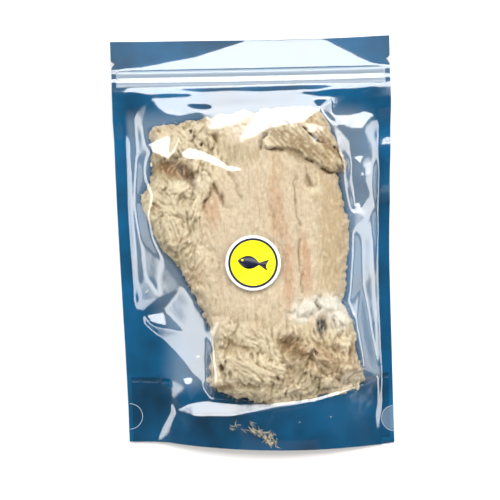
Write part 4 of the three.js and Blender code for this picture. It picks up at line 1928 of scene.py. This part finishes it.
@dataclass
class Crumbs:
    """Scraps of flesh that lie loose close under the film, and a wisp of fibre over the gusset."""

    front: FrontFilm
    seed: int = 17
    thickness: float = 0.35
    gap: float = 0.12
    # Each scrap as x, y, half its width, half its length and its turn in degrees.
    scraps: Points = field(default_factory=lambda: [
        (-35.2, -62.2, 0.7, 1.1, 30), (-35.4, -68, 0.3, 0.5, 80), (-58.1, 48.6, 0.7, 1.4, 100),
        (-53, -21.5, 0.25, 1.6, 60), (-63.5, -24, 0.2, 1.8, 35), (-49.5, -33, 0.2, 1.4, 110),
        (22, -101, 0.25, 0.4, 0), (40, -99, 0.25, 0.4, 0),
    ])
    wisp: Points = field(default_factory=lambda: [
        (-21, -102), (-8, -102.5), (-3, -106.5), (4, -109), (6.5, -114),
    ])
    strands: int = 120
    strand_half: Span = (0.06, 0.11)
    strand_length: Span = (0.8, 2.6)
    stray: float = 1.7
    stray_turn: float = 35.0
    roughness: Span = (0.7, 1.15)
    roundness: int = 2

    def _all_scraps(self) -> Points:
        """The drawn scraps, and the strands strewn along the wisp, thicker towards its end.

        Returns:
            Scraps as x, y, half width, half length and turn.
        """
        random = np.random.default_rng(self.seed)
        knots = np.array(self.wisp, float)
        strewn = []
        for t in np.sqrt(random.uniform(0.0, 1.0, self.strands)) * (len(knots) - 1):
            i = min(int(t), len(knots) - 2)
            x, y = mix(knots[i], knots[i + 1], t - i) + random.normal(0.0, self.stray, 2)
            along, up = knots[i + 1] - knots[i]
            run = math.degrees(math.atan2(up, along)) + random.normal(0.0, self.stray_turn)
            strewn.append((x, y, random.uniform(*self.strand_half), random.uniform(*self.strand_length), run))
        return self.scraps + strewn

    def build(self, material: Material) -> Piece:
        """Make all the scraps as one mesh, each a ball drawn out and roughened.

        Args:
            material: Finish of the flesh.

        Returns:
            The scraps, at the origin.
        """
        random = np.random.default_rng(self.seed)
        shape = bmesh.new()
        for x, y, across, along, turn in self._all_scraps():
            ball = bmesh.ops.create_icosphere(shape, subdivisions=self.roundness, radius=1.0)["verts"]
            places = np.array([v.co for v in ball]) * random.uniform(*self.roughness, (len(ball), 1))
            px, py = turned(places[:, 0] * along, places[:, 1] * across, turn)
            px, py = px + x, py + y
            below = self.thickness * (self.roughness[1] - places[:, 2]) / 2
            for vertex, place in zip(ball, np.stack([px, py, self.front.at(px, py) - self.gap - below], 1)):
                vertex.co = place
        vertices = np.array([v.co for v in shape.verts])
        shape.verts.index_update()
        faces = [[v.index for v in face.verts] for face in shape.faces]
        shape.free()
        piece = new_piece("fish_crumbs", vertices, faces, material)
        add_values(piece, TINT, np.tile(linear(Flesh.PALE.value), (len(vertices), 1)))
        return piece


@dataclass(frozen=True)
class SoftPanel:
    """A bright patch of the surroundings with soft edges, as a window or wall that the film mirrors.

    Angles are in degrees: down from the zenith, round from +X, and half the patch's width and height.
    """

    # Least share of the view direction that points at the patch, so that none shows behind it.
    AHEAD = 0.02

    from_zenith: float
    round: float
    half_wide: float
    half_tall: float
    radiance: float
    tone: str = "#ffffff"
    softness: float = 0.35

    def axes(self) -> tuple[Vector, Vector, Vector]:
        """Directions to the patch's middle, along its width and up its height.

        Returns:
            Three directions of length 1.
        """
        down, turn = math.radians(self.from_zenith), math.radians(self.round)
        middle = Vector((math.sin(down) * math.cos(turn), math.sin(down) * math.sin(turn), math.cos(down)))
        wide = Vector((-math.sin(turn), math.cos(turn), 0.0))
        return middle, wide, middle.cross(wide)

    def glow(self, tree: Tree, direction: Socket) -> Socket:
        """Add the nodes of the patch.

        Args:
            tree: World tree.
            direction: Direction that is looked in.

        Returns:
            The patch's colour in that direction.
        """
        parts = [add_node(tree, "ShaderNodeVectorMath", {"operation": "DOT_PRODUCT", 0: direction, 1: axis})
                 for axis in self.axes()]
        middle, *sides = (part.outputs["Value"] for part in parts)
        ahead = calc(tree, "MAXIMUM", middle, self.AHEAD)
        glow = calc(tree, "GREATER_THAN", middle, self.AHEAD)
        for side, half in zip(sides, (self.half_wide, self.half_tall)):
            reach = math.tan(math.radians(half))
            off = calc(tree, "ABSOLUTE", calc(tree, "DIVIDE", side, ahead))
            fade = add_node(tree, "ShaderNodeMapRange",
                            {"interpolation_type": "SMOOTHSTEP", "Value": off,
                             "From Min": reach * (1 - self.softness), "From Max": reach * (1 + self.softness),
                             "To Min": 1.0, "To Max": 0.0})
            glow = calc(tree, "MULTIPLY", glow, fade.outputs[0])
        colour = [channel * self.radiance for channel in linear(self.tone)[:3]]
        lit = add_node(tree, "ShaderNodeVectorMath", {"operation": "SCALE", 0: colour, "Scale": glow})
        return lit.outputs[0]


@dataclass(frozen=True)
class Studio:
    """Floor, surroundings and camera of the photograph's view."""

    camera_place: tuple[float, float, float] = (3.7, 13.4, 559.3)
    camera_turn: tuple[float, float, float] = (-1.61, 0.68, -1.79)
    lens: float = 69.3
    sensor: float = 36.0
    floor_half: float = 1600.0
    floor_tone: str = "#f0f0f0"
    floor_roughness: float = 0.9
    floor_level: float = -0.1
    sky: float = 0.03
    near: float = 10.0
    # Windows above and to the upper right, pale walls at both sides and a dim warm wall.
    panels: tuple[SoftPanel, ...] = (
        SoftPanel(41, 90, 26, 17, 7.0, softness=0.15),
        SoftPanel(58, 45, 16, 12, 6.0),
        SoftPanel(60, 190, 40, 14, 4.6, "#fffdfa", 0.4),
        SoftPanel(61, -8, 34, 14, 4.6, "#fffaf4", 0.4),
        SoftPanel(28, -80, 12, 7, 0.3, "#c9a184"),
    )

    def build(self) -> None:
        """Make the surroundings, the floor and the camera."""
        scene = bpy.context.scene
        scene.view_settings.view_transform = "Standard"
        scene.world = bpy.data.worlds.new("studio_surroundings")
        scene.world.use_nodes = True
        tree = scene.world.node_tree
        direction = add_node(tree, "ShaderNodeTexCoord").outputs["Generated"]
        total = add_node(tree, "ShaderNodeCombineXYZ", {axis: self.sky for axis in range(3)}).outputs[0]
        for panel in self.panels:
            total = add_node(tree, "ShaderNodeVectorMath",
                             {"operation": "ADD", 0: total, 1: panel.glow(tree, direction)}).outputs[0]
        light = add_node(tree, "ShaderNodeBackground", {"Color": total}).outputs[0]
        pale = add_node(tree, "ShaderNodeBackground", {"Color": linear("#ffffff")}).outputs[0]
        seen = add_node(tree, "ShaderNodeLightPath").outputs["Is Camera Ray"]
        fill(tree, tree.nodes["World Output"], {"Surface": blend(tree, seen, light, pale)})
        self._floor()
        self._camera()

    def _floor(self) -> None:
        """Make the pale floor."""
        half = self.floor_half
        paint = dress(new_finish("pale_floor_paint"),
                      {"Base Color": linear(self.floor_tone), "Roughness": self.floor_roughness})
        corners = [(x * half, y * half, self.floor_level) for x, y in ((-1, -1), (1, -1), (1, 1), (-1, 1))]
        floor = new_piece("floor", np.array(corners), [(0, 1, 2, 3)], paint, smooth=False)

    def _camera(self) -> None:
        """Make the camera of the photograph's view."""
        data = bpy.data.cameras.new("photo_camera")
        data.lens = self.lens
        data.sensor_width = self.sensor
        data.clip_start = self.near * MM
        camera = bpy.data.objects.new("photo_camera", data)
        camera.location = Vector(self.camera_place) * MM
        camera.rotation_euler = Euler([math.radians(angle) for angle in self.camera_turn])
        bpy.context.scene.collection.objects.link(camera)
        bpy.context.scene.camera = camera


def place(piece: Piece, slot: str, *nodes: str) -> None:
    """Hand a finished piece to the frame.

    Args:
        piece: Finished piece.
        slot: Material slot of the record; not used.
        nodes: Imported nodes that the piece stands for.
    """
    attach(piece, BODY)
    if nodes:
        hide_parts(*nodes)
    LOG.info("%s: %d faces", piece.name, len(piece.data.polygons))


def main() -> None:
    """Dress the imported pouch."""
    logging.basicConfig(level=logging.INFO, format="%(name)s %(message)s")
    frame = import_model()
    Studio().build()

    outline = PouchOutline()
    solid = PackedPouch(frame["nodes"]["pouch"])
    front = FrontFilm(outline, solid)
    clear = ClearLaminate().material()
    blue = TintedLaminate().material()
    # The gusset is the back's blue film, its darker blues painted shade for the leaf tucked under the front.
    shaded_gusset_blue = TintedLaminate("blue_gusset_film_painted_shade", "#022c44", "#034c72").material()
    back = BackFilm(outline, solid, front)
    place(back.build_back(blue), "blue_film")
    place(back.build_gusset(shaded_gusset_blue), "blue_film")
    place(ZipTrack(outline, solid).build(MilkyPolythene().material()), "clear_film")
    flesh = DriedFlesh().material()
    fillet = DriedFish(front, solid).build(flesh)
    fibre = LooseFibre().build(fillet, front, flesh)
    place(fillet, "dried_fish")
    place(fibre, "dried_fish")
    place(front.build(clear), "clear_film", "pouch")
    place(Crumbs(front).build(flesh), "dried_fish")
    ring = MilkyPolythene("pressed_weld_line", "#c3d6e2", 0.4, 0.5).material()
    haze = MilkyPolythene("pressed_weld_haze", "#c3d6e2", 0.08, 0.5).material()
    marks = WeldMarks(front)
    for name, side in (("weld_ring_left", -1), ("weld_ring_right", 1)):
        place(marks.build(name, side, marks.radius - marks.line, ring), "clear_film")
    place(marks.build("weld_haze_right", 1, marks.haze_inner, haze), "clear_film")
    inks = {
        "white": PrintedVinyl("white_vinyl", "#f4f4f2").material(),
        "navy": PrintedVinyl("navy_vinyl", "#0d1430").material(),
        "yellow": PrintedVinyl("yellow_vinyl", "#efe60c").material(),
    }
    sticker = Sticker(front)
    place(sticker.build(inks), "sticker", "label")
    place(sticker.build_sign(inks["navy"]), "sticker")
    place(sticker.build_eye(inks["yellow"]), "sticker")


if __name__ == "__main__":
    main()
